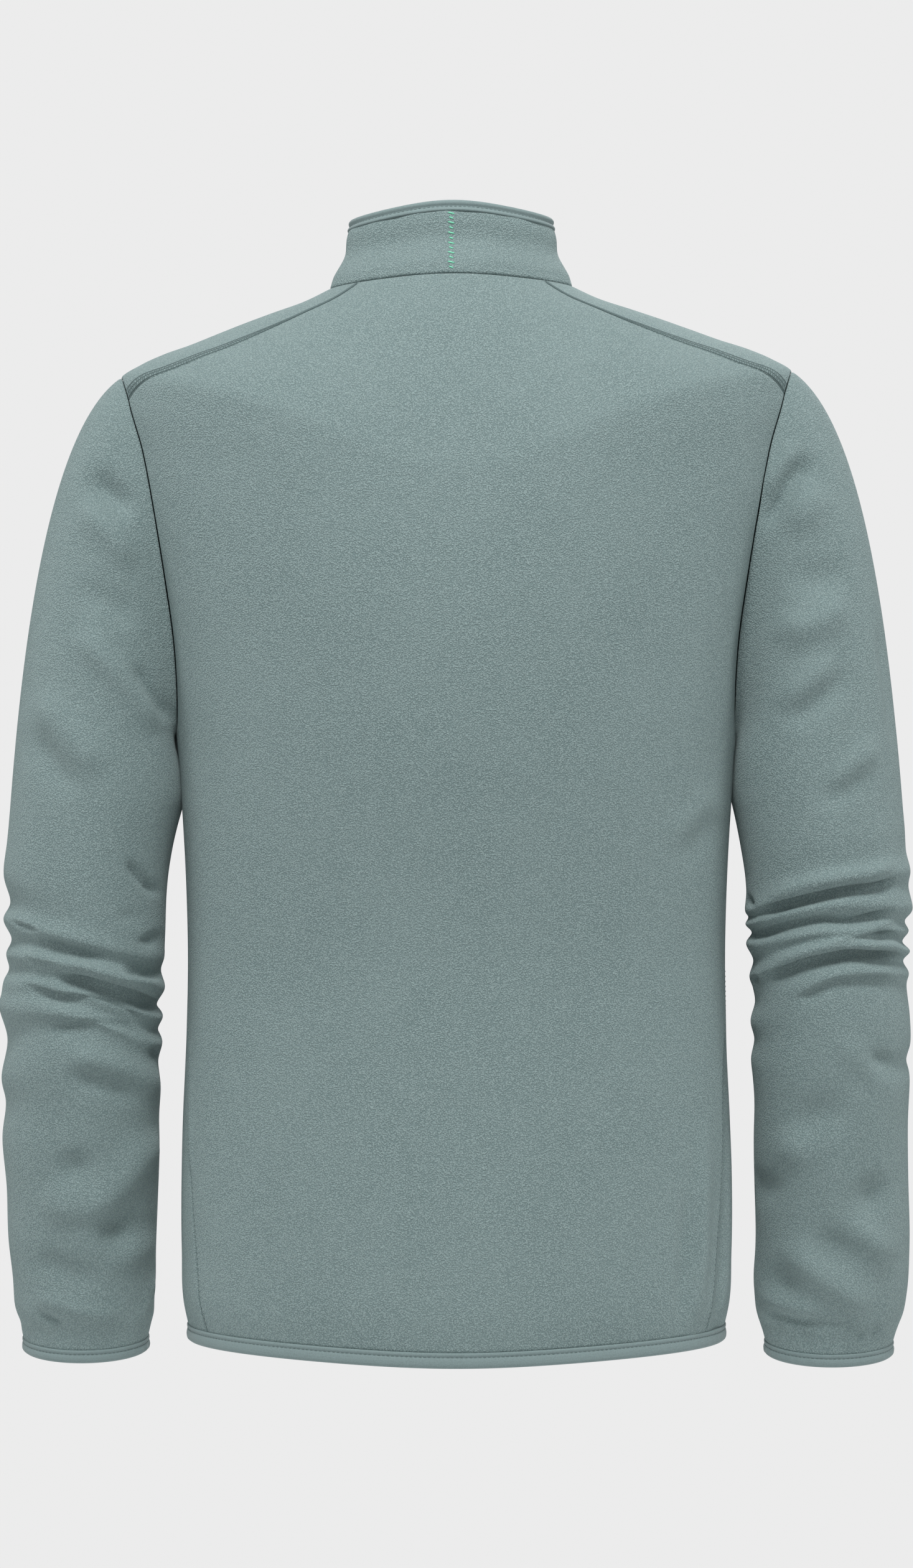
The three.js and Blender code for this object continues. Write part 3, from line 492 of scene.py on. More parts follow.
# Creases by sideways place and height in the left-hand frame
LEFT_BEHIND = creases(
    (-7.9, 9, 9, 22, 250, -123, 231, -139, 211, -156),
    (5.2, 10, 10, 22, 253, -144, 229, -168, 211, -193),
    (-3.6, 10, 10, 22, 259, -202, 231, -213, 209, -231),
    (5.2, 9, 9, 22, 255, -230, 231, -254, 212, -277, 198, -303),
    (-4.2, 5, 5, 14, 216, -252, 204, -273, 191, -295),
    (5.2, 11, 11, 22, 282, -271, 256, -301, 231, -330),
    (-4.2, 9, 9, 22, 287, -295, 267, -323, 247, -343),
    (4.2, 9, 9, 24, 268, -515, 241, -518, 211, -531, 200, -550),
    (-4.2, 9, 9, 24, 264, -525, 235, -533, 205, -544),
    (-5.6, 11, 11, 24, 273, -597, 253, -590, 234, -593),
    (6.6, 11, 11, 24, 205, -562, 215, -587, 235, -611, 257, -628),
    (5.1, 11, 11, 24, 277, -600, 262, -617, 250, -633),
    (-6.6, 11, 11, 24, 210, -617, 224, -631, 244, -640),
    (4.2, 10, 10, 24, 203, -635, 220, -650, 237, -663),
    (-4.2, 10, 10, 24, 291, -666, 276, -657, 258, -662, 234, -673),
    (2.6, 6, 6, 16, 287, -677, 266, -683, 241, -689, 220, -689),
    (-3.2, 2.6, 3.4, 12, 286, -690, 274, -693, 261, -702),
    (2.2, 4, 4, 12, 201, -664, 209, -684, 215, -700),
    (-3.4, 1.4, 3, 10, 276, -433, 283, -430, 292, -427, 300, -425),
    (-2.9, 3, 6, 16, 231, -450, 241, -448, 262, -442, 279, -436),
    (-1.6, 1.4, 3, 12, 262, -456, 268, -454, 279, -452, 291, -448),
    (2.9, 4, 2.2, 14, 197, -470, 206, -467, 221, -463, 237, -458, 258, -451),
    (-5.5, 1.6, 5.5, 14, 199, -486, 204, -480, 214, -474, 229, -469, 245, -464, 265, -461),
    (-3.9, 5, 1.8, 12, 196, -466, 210, -461, 225, -459),
    (-3.4, 2, 5, 18, 204, -496, 214, -487, 227, -478, 241, -475, 262, -475, 279, -470, 293, -466),
    (-2.1, 2, 7, 20, 203, -510, 219, -496, 229, -493, 245, -492, 262, -495, 279, -498),
    (-3.4, 2, 4, 8, 198, -523, 201, -515, 206, -509),
    (-4.4, 3, 3, 10, 198, -410, 210, -397, 219, -383),
    (-1.6, 3, 6, 14, 206, -423, 229, -420),
    (-3.4, 3, 6, 12, 195, -433, 204, -437, 214, -442),
)
LEFT_IN_FRONT = creases(
    (-5.5, 9, 9, 18, 216, -110, 234, -128, 252, -140),
    (4.2, 11, 11, 20, 208, -150, 236, -172, 262, -186),
    (-4.2, 10, 10, 22, 204, -214, 230, -240, 262, -262),
    (4.6, 10, 10, 20, 202, -246, 226, -276, 256, -300),
    (-3.8, 9, 9, 20, 206, -300, 232, -322, 268, -338),
    (4.2, 7, 7, 18, 206, -372, 236, -386, 272, -392),
    (-8, 3, 4, 14, 205, -430, 240, -436, 286, -424),
    (-7.2, 3, 4, 14, 200, -452, 236, -462, 270, -456),
    (-8.8, 3, 4, 14, 222, -480, 256, -474, 290, -484),
    (-4.8, 4, 5, 16, 203, -500, 240, -494, 268, -504),
    (3.8, 9, 9, 20, 206, -534, 238, -548, 272, -556),
    (-4.6, 9, 9, 20, 208, -572, 238, -590, 280, -602),
    (4.2, 9, 9, 18, 284, -622, 250, -636, 214, -642),
    (-3.8, 7, 7, 16, 216, -660, 244, -672, 282, -676),
    (-1.7, 2.4, 2.4, 6, 238, -698, 240, -711),
    (-1.7, 2.4, 2.4, 6, 266, -697, 263, -710),
)
RIGHT_BEHIND = creases(
    (2.9, 6, 6, 12, 228, -109, 215, -126, 204, -144),
    (-6.4, 6.5, 6.5, 14, 239, -118, 224, -132, 214, -148, 203, -165),
    (6.2, 12, 12, 22, 246, -134, 232, -153, 218, -172),
    (6.2, 10, 10, 22, 262, -210, 241, -227, 223, -231, 208, -222),
    (-3.6, 10, 10, 22, 265, -187, 242, -198, 213, -196),
    (4.2, 9, 9, 22, 255, -249, 230, -269, 208, -285),
    (-4.2, 8, 8, 22, 264, -256, 241, -278, 214, -298),
    (-2.6, 3.5, 3.5, 30, 280, -220, 288, -272, 293, -317),
    (5.2, 8, 8, 22, 283, -302, 266, -320, 244, -342),
    (-4.2, 8, 8, 22, 278, -317, 261, -333, 238, -351),
    (2.6, 8, 8, 20, 253, -497, 266, -516, 283, -533, 298, -533),
    (-2.2, 7, 7, 20, 269, -507, 283, -518, 299, -522),
    (-5.1, 14, 14, 24, 214, -559, 242, -555, 269, -544),
    (5.1, 12, 12, 24, 210, -565, 226, -578, 242, -590),
    (-4.2, 10, 10, 24, 203, -590, 209, -607, 218, -620),
    (-6.1, 12, 12, 24, 263, -598, 277, -609, 294, -619),
    (6.1, 9, 9, 24, 257, -621, 277, -640, 297, -655),
    (-6.1, 11, 11, 24, 230, -634, 253, -644, 275, -658),
    (7.2, 10, 10, 24, 217, -637, 238, -658, 261, -675, 279, -691),
    (-4.2, 10, 10, 24, 202, -667, 214, -669, 232, -678),
    (2.9, 5, 5, 14, 202, -677, 224, -685, 248, -688),
    (-2.4, 4, 4, 16, 202, -689, 211, -692, 236, -696, 269, -698),
    (-1.8, 2.2, 2.2, 6, 217, -696, 218, -710),
    (-1.5, 2.2, 2.2, 6, 234, -700, 235, -711),
    (-1.8, 2.2, 2.2, 6, 284, -696, 280, -709),
    (-1.5, 2.2, 2.2, 6, 272, -700, 270, -711),
    (3.1, 6, 3, 16, 205, -411, 230, -401, 255, -396, 276, -393, 294, -387),
    (-5.2, 1.5, 4, 14, 199, -419, 218, -413, 234, -409, 251, -405, 263, -403, 280, -401, 295, -396),
    (
        -4.4, 1.5, 4, 18, 195, -443, 203, -434, 218, -428,
        230, -425, 243, -423, 259, -424, 280, -420, 292, -416,
    ),
    (-1.4, 3, 5, 14, 209, -446, 230, -439, 251, -435),
    (2, 4, 2.4, 14, 209, -454, 230, -445, 251, -439, 267, -433, 284, -427, 297, -425),
    (-6, 1.5, 4.5, 14, 202, -463, 218, -457, 230, -452, 247, -448, 259, -446, 276, -447, 297, -448),
    (-3.6, 2, 3, 12, 272, -435, 296, -433),
    (1.6, 3, 2, 12, 263, -441, 300, -442),
    (-2.9, 2.2, 6, 16, 221, -479, 234, -473, 251, -465, 276, -463, 295, -465),
    (-1.8, 4, 6, 16, 272, -515, 295, -521),
    (-3.9, 2, 3, 8, 192, -405, 199, -418),
    (-3.1, 2, 4, 8, 194, -468, 203, -463),
)
RIGHT_IN_FRONT = creases(
    (-4.6, 8, 8, 18, 214, -116, 236, -130, 258, -136),
    (-5, 9, 9, 20, 207, -160, 232, -184, 258, -202),
    (4.6, 11, 11, 20, 210, -188, 238, -212, 266, -226),
    (-3.8, 10, 10, 20, 202, -258, 232, -282, 266, -290),
    (4.2, 9, 9, 20, 204, -292, 234, -316, 270, -330),
    (-3.4, 8, 8, 18, 208, -352, 240, -368, 276, -370),
    (-7.4, 3, 4, 14, 206, -418, 238, -408, 284, -402),
    (-6.4, 3, 4, 12, 204, -440, 236, -436, 262, -428),
    (-8.8, 3, 4, 14, 212, -466, 250, -456, 290, -458),
    (-4.8, 4, 5, 16, 216, -486, 250, -482, 286, -488),
    (-4.2, 9, 9, 20, 207, -520, 236, -540, 270, -552),
    (4.6, 10, 10, 20, 206, -556, 240, -576, 276, -586),
    (-4.2, 9, 9, 18, 284, -606, 252, -626, 216, -636),
    (3.8, 8, 8, 16, 212, -656, 246, -668, 286, -670),
    (-1.7, 2.4, 2.4, 6, 230, -700, 229, -713),
    (-1.7, 2.4, 2.4, 6, 258, -701, 256, -714),
    (-1.7, 2.4, 2.4, 6, 279, -700, 276, -713),
)
LEFT_FRONT_CREASES = creases(
    (2.9, 11, 11, 34, 182, -316, 150, -352, 104, -392),
    (-2.6, 11, 11, 34, 178, -350, 140, -392, 92, -430),
    (-2.6, 12, 12, 34, 172, -150, 150, -200, 140, -262),
    (2.2, 7, 9, 40, 160, -600, 154, -650, 150, -690),
    (-2.2, 12, 12, 40, 120, -560, 116, -620, 118, -684),
)
RIGHT_FRONT_CREASES = creases(
    (2.6, 10, 10, 30, 184, -300, 156, -330, 112, -356),
    (-2.8, 11, 11, 34, 180, -336, 146, -372, 98, -404),
    (-2.4, 12, 12, 34, 170, -140, 154, -186, 146, -236),
    (-3.6, 3, 4, 40, 176, -480, 179, -560, 178, -640, 172, -712),
    (1.4, 3, 3, 34, 181, -560, 181, -640, 175, -704),
    (-2, 10, 12, 40, 132, -580, 136, -640, 132, -700),
    (1.6, 12, 12, 34, 88, -610, 84, -660, 90, -706),
)


# Meshes


def mesh_object(name: str, points: Array, faces: Array | Sequence[Sequence[int]]) -> Piece:
    """Makes a smooth mesh object.

    Args:
        name: The object's name.
        points: Points in metres.
        faces: Corner numbers of each face.

    Returns:
        The object, linked into the scene.
    """
    mesh = bpy.data.meshes.new(name)
    listed = faces.tolist() if isinstance(faces, np.ndarray) else list(faces)
    mesh.from_pydata(points.tolist(), [], listed)
    mesh.validate()
    mesh.polygons.foreach_set("use_smooth", [True] * len(mesh.polygons))
    made = bpy.data.objects.new(name, mesh)
    bpy.context.scene.collection.objects.link(made)
    return made


def quads_between(near: Array, far: Array, along: Array, back: Array) -> Array:
    """Faces from four equal grids of corner numbers."""
    return np.stack([part.ravel() for part in (near, far, along, back)], axis=1)


def faces_out(points: Array, quads: Array) -> bool:
    """Whether a closed mesh of four-cornered faces has them turned outwards."""
    a, b, c, d = (points[quads[:, k]] for k in range(4))
    return np.sum(a * np.cross(b, c)) + np.sum(a * np.cross(c, d)) > 0


def shell(name: str, outer: Array, inner: Array, closed: bool = False) -> Piece:
    """Makes a closed thin piece of cloth between two grids of points.

    Args:
        name: The object's name.
        outer: Rows of columns of points on the face, in millimetres.
        inner: The same on the back.
        closed: Whether the last column meets the first.

    Returns:
        The cloth's object.
    """
    rows, columns = outer.shape[:2]
    size = rows * columns
    points = settle(np.concatenate([outer.reshape(-1, 3), inner.reshape(-1, 3)])) * METRES
    at = np.arange(size).reshape(rows, columns)
    ahead = np.roll(at, -1, axis=1)
    if not closed:
        at, ahead = at[:, :-1], ahead[:, :-1]
    face = quads_between(at[:-1], ahead[:-1], ahead[1:], at[1:])
    faces = [face, face[:, ::-1] + size]
    for p, q in ((ahead[0], at[0]), (at[-1], ahead[-1])):
        faces.append(np.stack([p, q, q + size, p + size], axis=1))
    if not closed:
        whole = np.arange(size).reshape(rows, columns)
        for p, q in ((whole[:-1, 0], whole[1:, 0]), (whole[1:, -1], whole[:-1, -1])):
            faces.append(np.stack([p, q, q + size, p + size], axis=1))
    quads = np.concatenate(faces)
    return mesh_object(name, points, quads if faces_out(points, quads) else quads[:, ::-1])


def cloth_piece(
    name: str, surface: Array, lift: Array, sink: Array | float, side: Side = Side.LEFT, closed: bool = False
) -> Piece:
    """Makes a thin piece of cloth from its face.

    Args:
        name: The piece's name.
        surface: Rows of columns of points on the face, in millimetres.
        lift: How far each point stands off that face, on both sides of the cloth.
        sink: How far the outer side sinks below that.
        side: Which side the left-hand points go to.
        closed: Whether the last column meets the first.

    Returns:
        The piece.
    """
    normals = grid_normals(surface, closed)
    outer = surface + normals * (lift - sink)[..., None]
    inner = surface + normals * (lift - SHEET)[..., None]
    return shell(name, mirrored(outer, side), mirrored(inner, side), closed)


def tubes(name: str, lines: Sequence[Array], radius: float, sides: int = 6) -> Piece:
    """Makes round threads along lines, joined into one mesh.

    Args:
        name: The object's name.
        lines: Each thread's points, in metres.
        radius: The threads' radius in metres.
        sides: Faces round a thread.

    Returns:
        The object.
    """
    turn = np.linspace(0, 2 * np.pi, sides, endpoint=False)
    points: list[Array] = []
    faces: list[list[int]] = []
    count = 0
    for line in lines:
        heading = unit(np.gradient(line, axis=0))
        across = unit(np.cross(heading, np.array([0.31, 0.87, 0.39])))
        other = np.cross(heading, across)
        taper = np.ones(len(line))
        taper[[0, -1]] = 0.35
        ring = np.cos(turn)[:, None] * across[:, None] + np.sin(turn)[:, None] * other[:, None]
        points.append((line[:, None] + radius * taper[:, None, None] * ring).reshape(-1, 3))
        at = np.arange(len(line) * sides).reshape(len(line), sides) + count
        ahead = np.roll(at, -1, axis=1)
        faces += quads_between(at[:-1], ahead[:-1], ahead[1:], at[1:]).tolist()
        faces += [at[0, ::-1].tolist(), at[-1].tolist()]
        count += len(line) * sides
    return mesh_object(name, np.concatenate(points), faces)


class Ground:
    """A made piece's surface, for laying stitches on it."""

    def __init__(self, *pieces: Piece) -> None:
        """Reads the pieces' meshes."""
        self.trees = [
            BVHTree.FromPolygons(
                [v.co for v in piece.data.vertices], [tuple(p.vertices) for p in piece.data.polygons]
            )
            for piece in pieces
        ]

    def lay(self, points: Array, outward: Array, lift: float) -> Array:
        """Puts points on the surface.

        Args:
            points: Points near the surface, in metres.
            outward: The way out of the cloth at each point.
            lift: How far off the surface they end, in metres.

        Returns:
            The points on the outer face of the nearest piece.
        """
        laid = []
        for p, n in zip(points, unit(outward)):
            start, heading = Vector(p + n * 0.012), Vector(-n)
            hits = [tree.ray_cast(start, heading, 0.03) for tree in self.trees]
            near = [hit for hit in hits if hit[0] is not None]
            best = min(near, key=lambda hit: hit[3])[0] if near else Vector(p)
            laid.append(np.array(best) + n * lift)
        return np.array(laid)


def evenly(line: Array, pitch: float) -> Array:
    """Points along a line at equal distances.

    Args:
        line: The line's points.
        pitch: The distance wanted between two points.

    Returns:
        The new points, the line's two ends among them.
    """
    run = travelled(line)
    return between(np.linspace(0, run[-1], max(2, round(run[-1] / pitch) + 1)), run, line)


# Finishes


class Graph:
    """A node tree with short ways to add nodes to it."""

    def __init__(self, tree: bpy.types.NodeTree) -> None:
        """Takes the tree over."""
        self.tree = tree

    def node(self, kind: str, inputs: dict[str | int, object] | None = None, **settings: object) -> Node:
        """Adds a node.

        Args:
            kind: The node's type, without its ShaderNode prefix.
            inputs: A value or another node's output for each input.
            settings: The node's own properties.

        Returns:
            The node.
        """
        made = self.tree.nodes.new("ShaderNode" + kind)
        for name, value in settings.items():
            setattr(made, name, value)
        return self.fill(made, inputs or {})

    def fill(self, made: Node, inputs: dict[str | int, object]) -> Node:
        """Sets or links a node's inputs, and returns the node."""
        for name, value in inputs.items():
            if isinstance(value, Socket):
                self.tree.links.new(value, made.inputs[name])
            else:
                made.inputs[name].default_value = value
        return made

    def group(self, effect: bpy.types.NodeTree, **inputs: float) -> list[Socket]:
        """The outputs of a shared effect."""
        return list(self.node("Group", inputs, node_tree=effect).outputs)

    def bump(self, height: Socket, strength: float, relief: float) -> Socket:
        """The normal of a relief, its depth in metres."""
        return self.node("Bump", {"Height": height, "Strength": strength, "Distance": relief}).outputs[0]

    def vector(self, operation: str, *values: object) -> Socket:
        """The output of a Vector Math node."""
        return self.node("VectorMath", dict(enumerate(values)), operation=operation).outputs[0]

    def math(self, operation: str, *values: object) -> Socket:
        """The output of a Math node."""
        return self.node("Math", dict(enumerate(values)), operation=operation).outputs[0]

    def blend(self, share: object, first: object, second: object) -> Socket:
        """The output of a node that mixes two colours."""
        return self.node("Mix", {0: share, 6: first, 7: second}, data_type="RGBA").outputs[2]

    def rescale(self, value: object, low: float, high: float) -> Socket:
        """A value brought from the range low to high onto 0 to 1, smoothly."""
        inputs = {"Value": value, "From Min": low, "From Max": high}
        return self.node("MapRange", inputs, interpolation_type="SMOOTHSTEP").outputs[0]

    def noise(self, scale: object, detail: float, where: object, roughness: float = 0.5) -> Node:
        """A noise texture's node."""
        inputs = {"Vector": where, "Scale": scale, "Detail": detail, "Roughness": roughness}
        return self.node("TexNoise", inputs)


def node_group(
    name: str, inputs: dict[str, float], outputs: Sequence[str], fill: Callable[[Graph, Node], list]
) -> bpy.types.NodeTree:
    """Makes a shader node group of values.

    Args:
        name: The group's name.
        inputs: Each input's name and value.
        outputs: The outputs' names.
        fill: Adds the nodes and returns a socket for each output.

    Returns:
        The group.
    """
    tree = bpy.data.node_groups.new(name, "ShaderNodeTree")
    for label, value in inputs.items():
        socket = tree.interface.new_socket(label, in_out="INPUT", socket_type="NodeSocketFloat")
        socket.default_value = value
    for label in outputs:
        tree.interface.new_socket(label, in_out="OUTPUT", socket_type="NodeSocketFloat")
    graph = Graph(tree)
    entry, leave = tree.nodes.new("NodeGroupInput"), tree.nodes.new("NodeGroupOutput")
    for k, socket in enumerate(fill(graph, entry)):
        tree.links.new(socket, leave.inputs[k])
    return tree


class Effects:
    """Surface effects that several finishes use, each a node group made once."""

    def __init__(self) -> None:
        """Makes the groups."""
        self.nap = node_group("brushed_nap", {"Scale": 700}, ("Height", "Shade"), self._nap)
        self.mottle = node_group("mottled_dye", {"Scale": 20}, ("Value",), self._mottle)
        self.knit = node_group("fine_knit", {"Scale": 1200}, ("Height",), self._knit)
        self.scuff = node_group("light_scuffs", {"Scale": 300}, ("Mask",), self._scuff)

    @staticmethod
    def _start(graph: Graph, entry: Node) -> tuple[Socket, Socket]:
        """The surface's own coordinates in metres, and the effect's scale."""
        return graph.node("TexCoord").outputs["Object"], entry.outputs["Scale"]

    def _nap(self, graph: Graph, entry: Node) -> list[Socket]:
        """Short curled clumps of brushed fibre, and their painted shading: darker in the hollows between
        clumps, lighter on their tops.
        """
        where, scale = self._start(graph, entry)
        swirl = graph.noise(graph.math("MULTIPLY", scale, 0.45), 1, where).outputs["Color"]
        centred = graph.vector("SUBTRACT", swirl, (0.5, 0.5, 0.5))
        bend = graph.node("VectorMath", {0: centred, "Scale": 0.0011}, operation="SCALE").outputs[0]
        moved = graph.vector("ADD", where, bend)
        inputs = {"Vector": moved, "Scale": scale, "Smoothness": 0.6}
        cells = graph.node("TexVoronoi", inputs, feature="SMOOTH_F1").outputs["Distance"]
        clumps = graph.rescale(cells, 0.75, 0.1)
        fibre = graph.noise(graph.math("MULTIPLY", scale, 1.5), 2, moved, 0.6).outputs[0]
        tufts = graph.noise(graph.math("MULTIPLY", scale, 0.32), 1, where).outputs[0]
        height = graph.math("MULTIPLY_ADD", fibre, 0.8, graph.math("MULTIPLY", clumps, 0.6))
        height = graph.math("MULTIPLY_ADD", tufts, 0.14, height)
        # The second output is painted shade and highlight: the nap's height mapped to a darker colour in the
        # hollows and a lighter one on the tops
        return [height, graph.rescale(height, 0.38, 1.12)]

    def _mottle(self, graph: Graph, entry: Node) -> list[Socket]:
        """Broad soft changes of tone where the pile lies one way or the other."""
        where, scale = self._start(graph, entry)
        broad = graph.noise(scale, 3, where, 0.55).outputs[0]
        close = graph.noise(graph.math("MULTIPLY", scale, 6.5), 2, where).outputs[0]
        return [graph.rescale(graph.math("MULTIPLY_ADD", close, 0.45, broad), 0.5, 0.95)]

    def _knit(self, graph: Graph, entry: Node) -> list[Socket]:
        """The fine stitches of smooth jersey."""
        where, scale = self._start(graph, entry)
        coarser = graph.math("MULTIPLY", scale, 0.35)
        inputs = {"Vector": where, "Scale": coarser, "Distortion": 1.2, "Detail": 1}
        rows = graph.node("TexWave", inputs, bands_direction="Z").outputs["Fac"]
        fuzz = graph.noise(scale, 2, where).outputs[0]
        return [graph.math("MULTIPLY_ADD", rows, 0.35, fuzz)]

    def _scuff(self, graph: Graph, entry: Node) -> list[Socket]:
        """Small rubbed spots."""
        where, scale = self._start(graph, entry)
        return [graph.rescale(graph.noise(scale, 4, where, 0.7).outputs[0], 0.56, 0.72)]


@dataclass(frozen=True)
class Fleece:
    """Brushed micro-fleece with a short matt nap."""

    name: str = "fleece"
    # light is the nap's colour on its lit clump tops, and the darker tone below it is the colour in its
    # shaded hollows: painted highlight and painted shade
    light: tuple[float, float, float] = (0.289, 0.373, 0.370)
    dark: tuple[float, float, float] = (0.163, 0.226, 0.226)
    tint: float = 0.07
    grain: float = 1050.0
    mottle_scale: float = 16.0
    mottle_share: float = 0.2
    relief: float = 0.0009
    strength: float = 0.9
    sheen: float = 0.3

    def material(self, effects: Effects) -> Material:
        """Makes the material.

        Args:
            effects: The shared node groups.

        Returns:
            The fleece's material.
        """
        made, graph, shader = blank_material(self.name)
        height, painted_nap_shade = graph.group(effects.nap, Scale=self.grain)
        (mottle,) = graph.group(effects.mottle, Scale=self.mottle_scale)
        deep = tuple(c * (1 - self.tint) for c in self.light)
        # Painted shade in the hollows between clumps, painted highlight on their tops
        colour = graph.blend(painted_nap_shade, (*self.dark, 1), (*self.light, 1))
        inputs = {
            "Base Color": graph.blend(graph.math("MULTIPLY", mottle, self.mottle_share), colour, (*deep, 1)),
            "Normal": graph.bump(height, self.strength, self.relief),
            "Roughness": 0.93,
            "Specular IOR Level": 0.15,
            "Sheen Weight": self.sheen,
            "Sheen Roughness": 0.42,
            "Sheen Tint": (0.78, 0.92, 0.92, 1),
        }
        graph.fill(shader, inputs)
        return made


@dataclass(frozen=True)
class Jersey:
    """Smooth knitted cloth, as in the bindings, the tapes and the threads."""

    name: str
    colour: tuple[float, float, float]
    knit: float = 1300.0
    mottle_scale: float = 45.0
    mottle_share: float = 0.35
    relief: float = 0.00025
    strength: float = 0.6
    sheen: float = 0.15
    # How much darker the knit's low places and how much lighter its raised loops are painted: painted shade
    # and painted highlight
    contrast: float = 0.16

    def material(self, effects: Effects) -> Material:
        """Makes the material.

        Args:
            effects: The shared node groups.

        Returns:
            The jersey's material.
        """
        made, graph, shader = blank_material(self.name)
        (knit,) = graph.group(effects.knit, Scale=self.knit)
        (mottle,) = graph.group(effects.mottle, Scale=self.mottle_scale)
        # Painted shade in the knit's low places and painted highlight on its raised loops, set by the knit's
        # relief
        dark, light = (tuple(c * (1 + way * self.contrast) for c in self.colour) for way in (-1, 0.6))
        colour = graph.blend(graph.rescale(knit, 0.35, 0.95), (*dark, 1), (*light, 1))
        share = graph.math("MULTIPLY", mottle, self.mottle_share)
        inputs = {
            "Base Color": graph.blend(share, colour, (*self.colour, 1)),
            "Normal": graph.bump(knit, self.strength, self.relief),
            "Roughness": 0.82,
            "Specular IOR Level": 0.25,
            "Sheen Weight": self.sheen,
            "Sheen Roughness": 0.5,
        }
        graph.fill(shader, inputs)
        return made


@dataclass(frozen=True)
class Hardware:
    """Moulded plastic or painted metal, a little rubbed."""

    name: str
    colour: tuple[float, float, float]
    worn: tuple[float, float, float]
    metallic: float
    roughness: float

    def material(self, effects: Effects) -> Material:
        """Makes the material.

        Args:
            effects: The shared node groups.

        Returns:
            The hardware's material.
        """
        made, graph, shader = blank_material(self.name)
        (mask,) = graph.group(effects.scuff)
        inputs = {
            "Base Color": graph.blend(graph.math("MULTIPLY", mask, 0.5), (*self.colour, 1), (*self.worn, 1)),
            "Roughness": graph.math("MULTIPLY_ADD", mask, 0.18, self.roughness),
            "Normal": graph.bump(mask, 0.2, 0.0001),
            "Metallic": self.metallic,
        }
        graph.fill(shader, inputs)
        return made


def blank_material(name: str) -> tuple[Material, Graph, Node]:
    """Makes a material with one plain shader.

    Args:
        name: The material's name.

    Returns:
        The material, its graph and its shader's node.
    """
    made = bpy.data.materials.new(name)
    made.use_nodes = True
    graph = Graph(made.node_tree)
    return made, graph, made.node_tree.nodes["Principled BSDF"]


@dataclass(frozen=True)
class Finish:
    """A material and the record's slot that it belongs to."""

    material: Material
    slot: Slot


class Finishes:
    """Every finish of the jacket, made once."""

    def __init__(self) -> None:
        """Makes the materials."""
        effects = Effects()

        def jersey(slot: Slot, name: str, colour: tuple[float, float, float], **looks: float) -> Finish:
            """A finish of knitted cloth."""
            return Finish(Jersey(name, colour, **looks).material(effects), slot)

        def hardware(slot: Slot, *looks: object) -> Finish:
            """A finish of plastic or metal."""
            return Finish(Hardware(*looks).material(effects), slot)

        self.fleece = Finish(Fleece().material(effects), Slot.FLEECE)
        self.binding = jersey(Slot.BINDING, "binding_jersey", (0.200, 0.266, 0.266))
        self.tape = jersey(Slot.TAPE, "zip_tape_cloth", (0.150, 0.205, 0.205), knit=1500, contrast=0.3)
        self.thread = jersey(Slot.BINDING, "seam_thread", (0.112, 0.162, 0.162), knit=2600, contrast=0.3)
        self.mint = jersey(Slot.BINDING, "mint_thread", (0.24, 0.74, 0.50), knit=2600, contrast=0.2)
        plastic = ("zip_plastic", (0.115, 0.160, 0.160), (0.2, 0.26, 0.26), 0, 0.42)
        painted = ("painted_metal", (0.150, 0.190, 0.192), (0.36, 0.4, 0.4), 0.6, 0.36)
        self.plastic = hardware(Slot.PLASTIC, *plastic)
        self.metal = hardware(Slot.METAL, *painted)


def fit(piece: Piece, finish: Finish, *nodes: str, body: str = "garment") -> Piece:
    """Gives a piece its finish, its body and the nodes it stands for.

    Args:
        piece: The piece.
        finish: Its finish.
        nodes: The CAD nodes that it replaces.
        body: The CAD body it moves with.

    Returns:
        The piece.
    """
    piece.data.materials.append(finish.material)
    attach(piece, body)
    if nodes:
        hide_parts(*nodes)
    LOG.info("%s: %d faces", piece.name, len(piece.data.polygons))
    return piece


# The garment's parts


ARMPIT_VALLEYS = {Side.LEFT: 6.0, Side.RIGHT: 13.0}
# The fronts' rows at the underarm, the neck's corner and the shoulder seam, and the armhole's turn for each
ARM_ROW, NECK_ROW, LAST_ROW, ROW_TURN = 11, 16, 25, 15


class Form:
    """A surface round the body, by angle and level."""

    step: float

    def point(self, angle: Array, level: Array) -> Array:
        """A point of the cloth's face."""
        raise NotImplementedError

    def normal(self, angle: Array, level: Array) -> Array:
        """The way out of the cloth at a point."""
        across = self.point(angle - 0.2, level) - self.point(angle + 0.2, level)
        along = self.point(angle, level + self.step) - self.point(angle, level - self.step)
        return unit(np.cross(across, along))


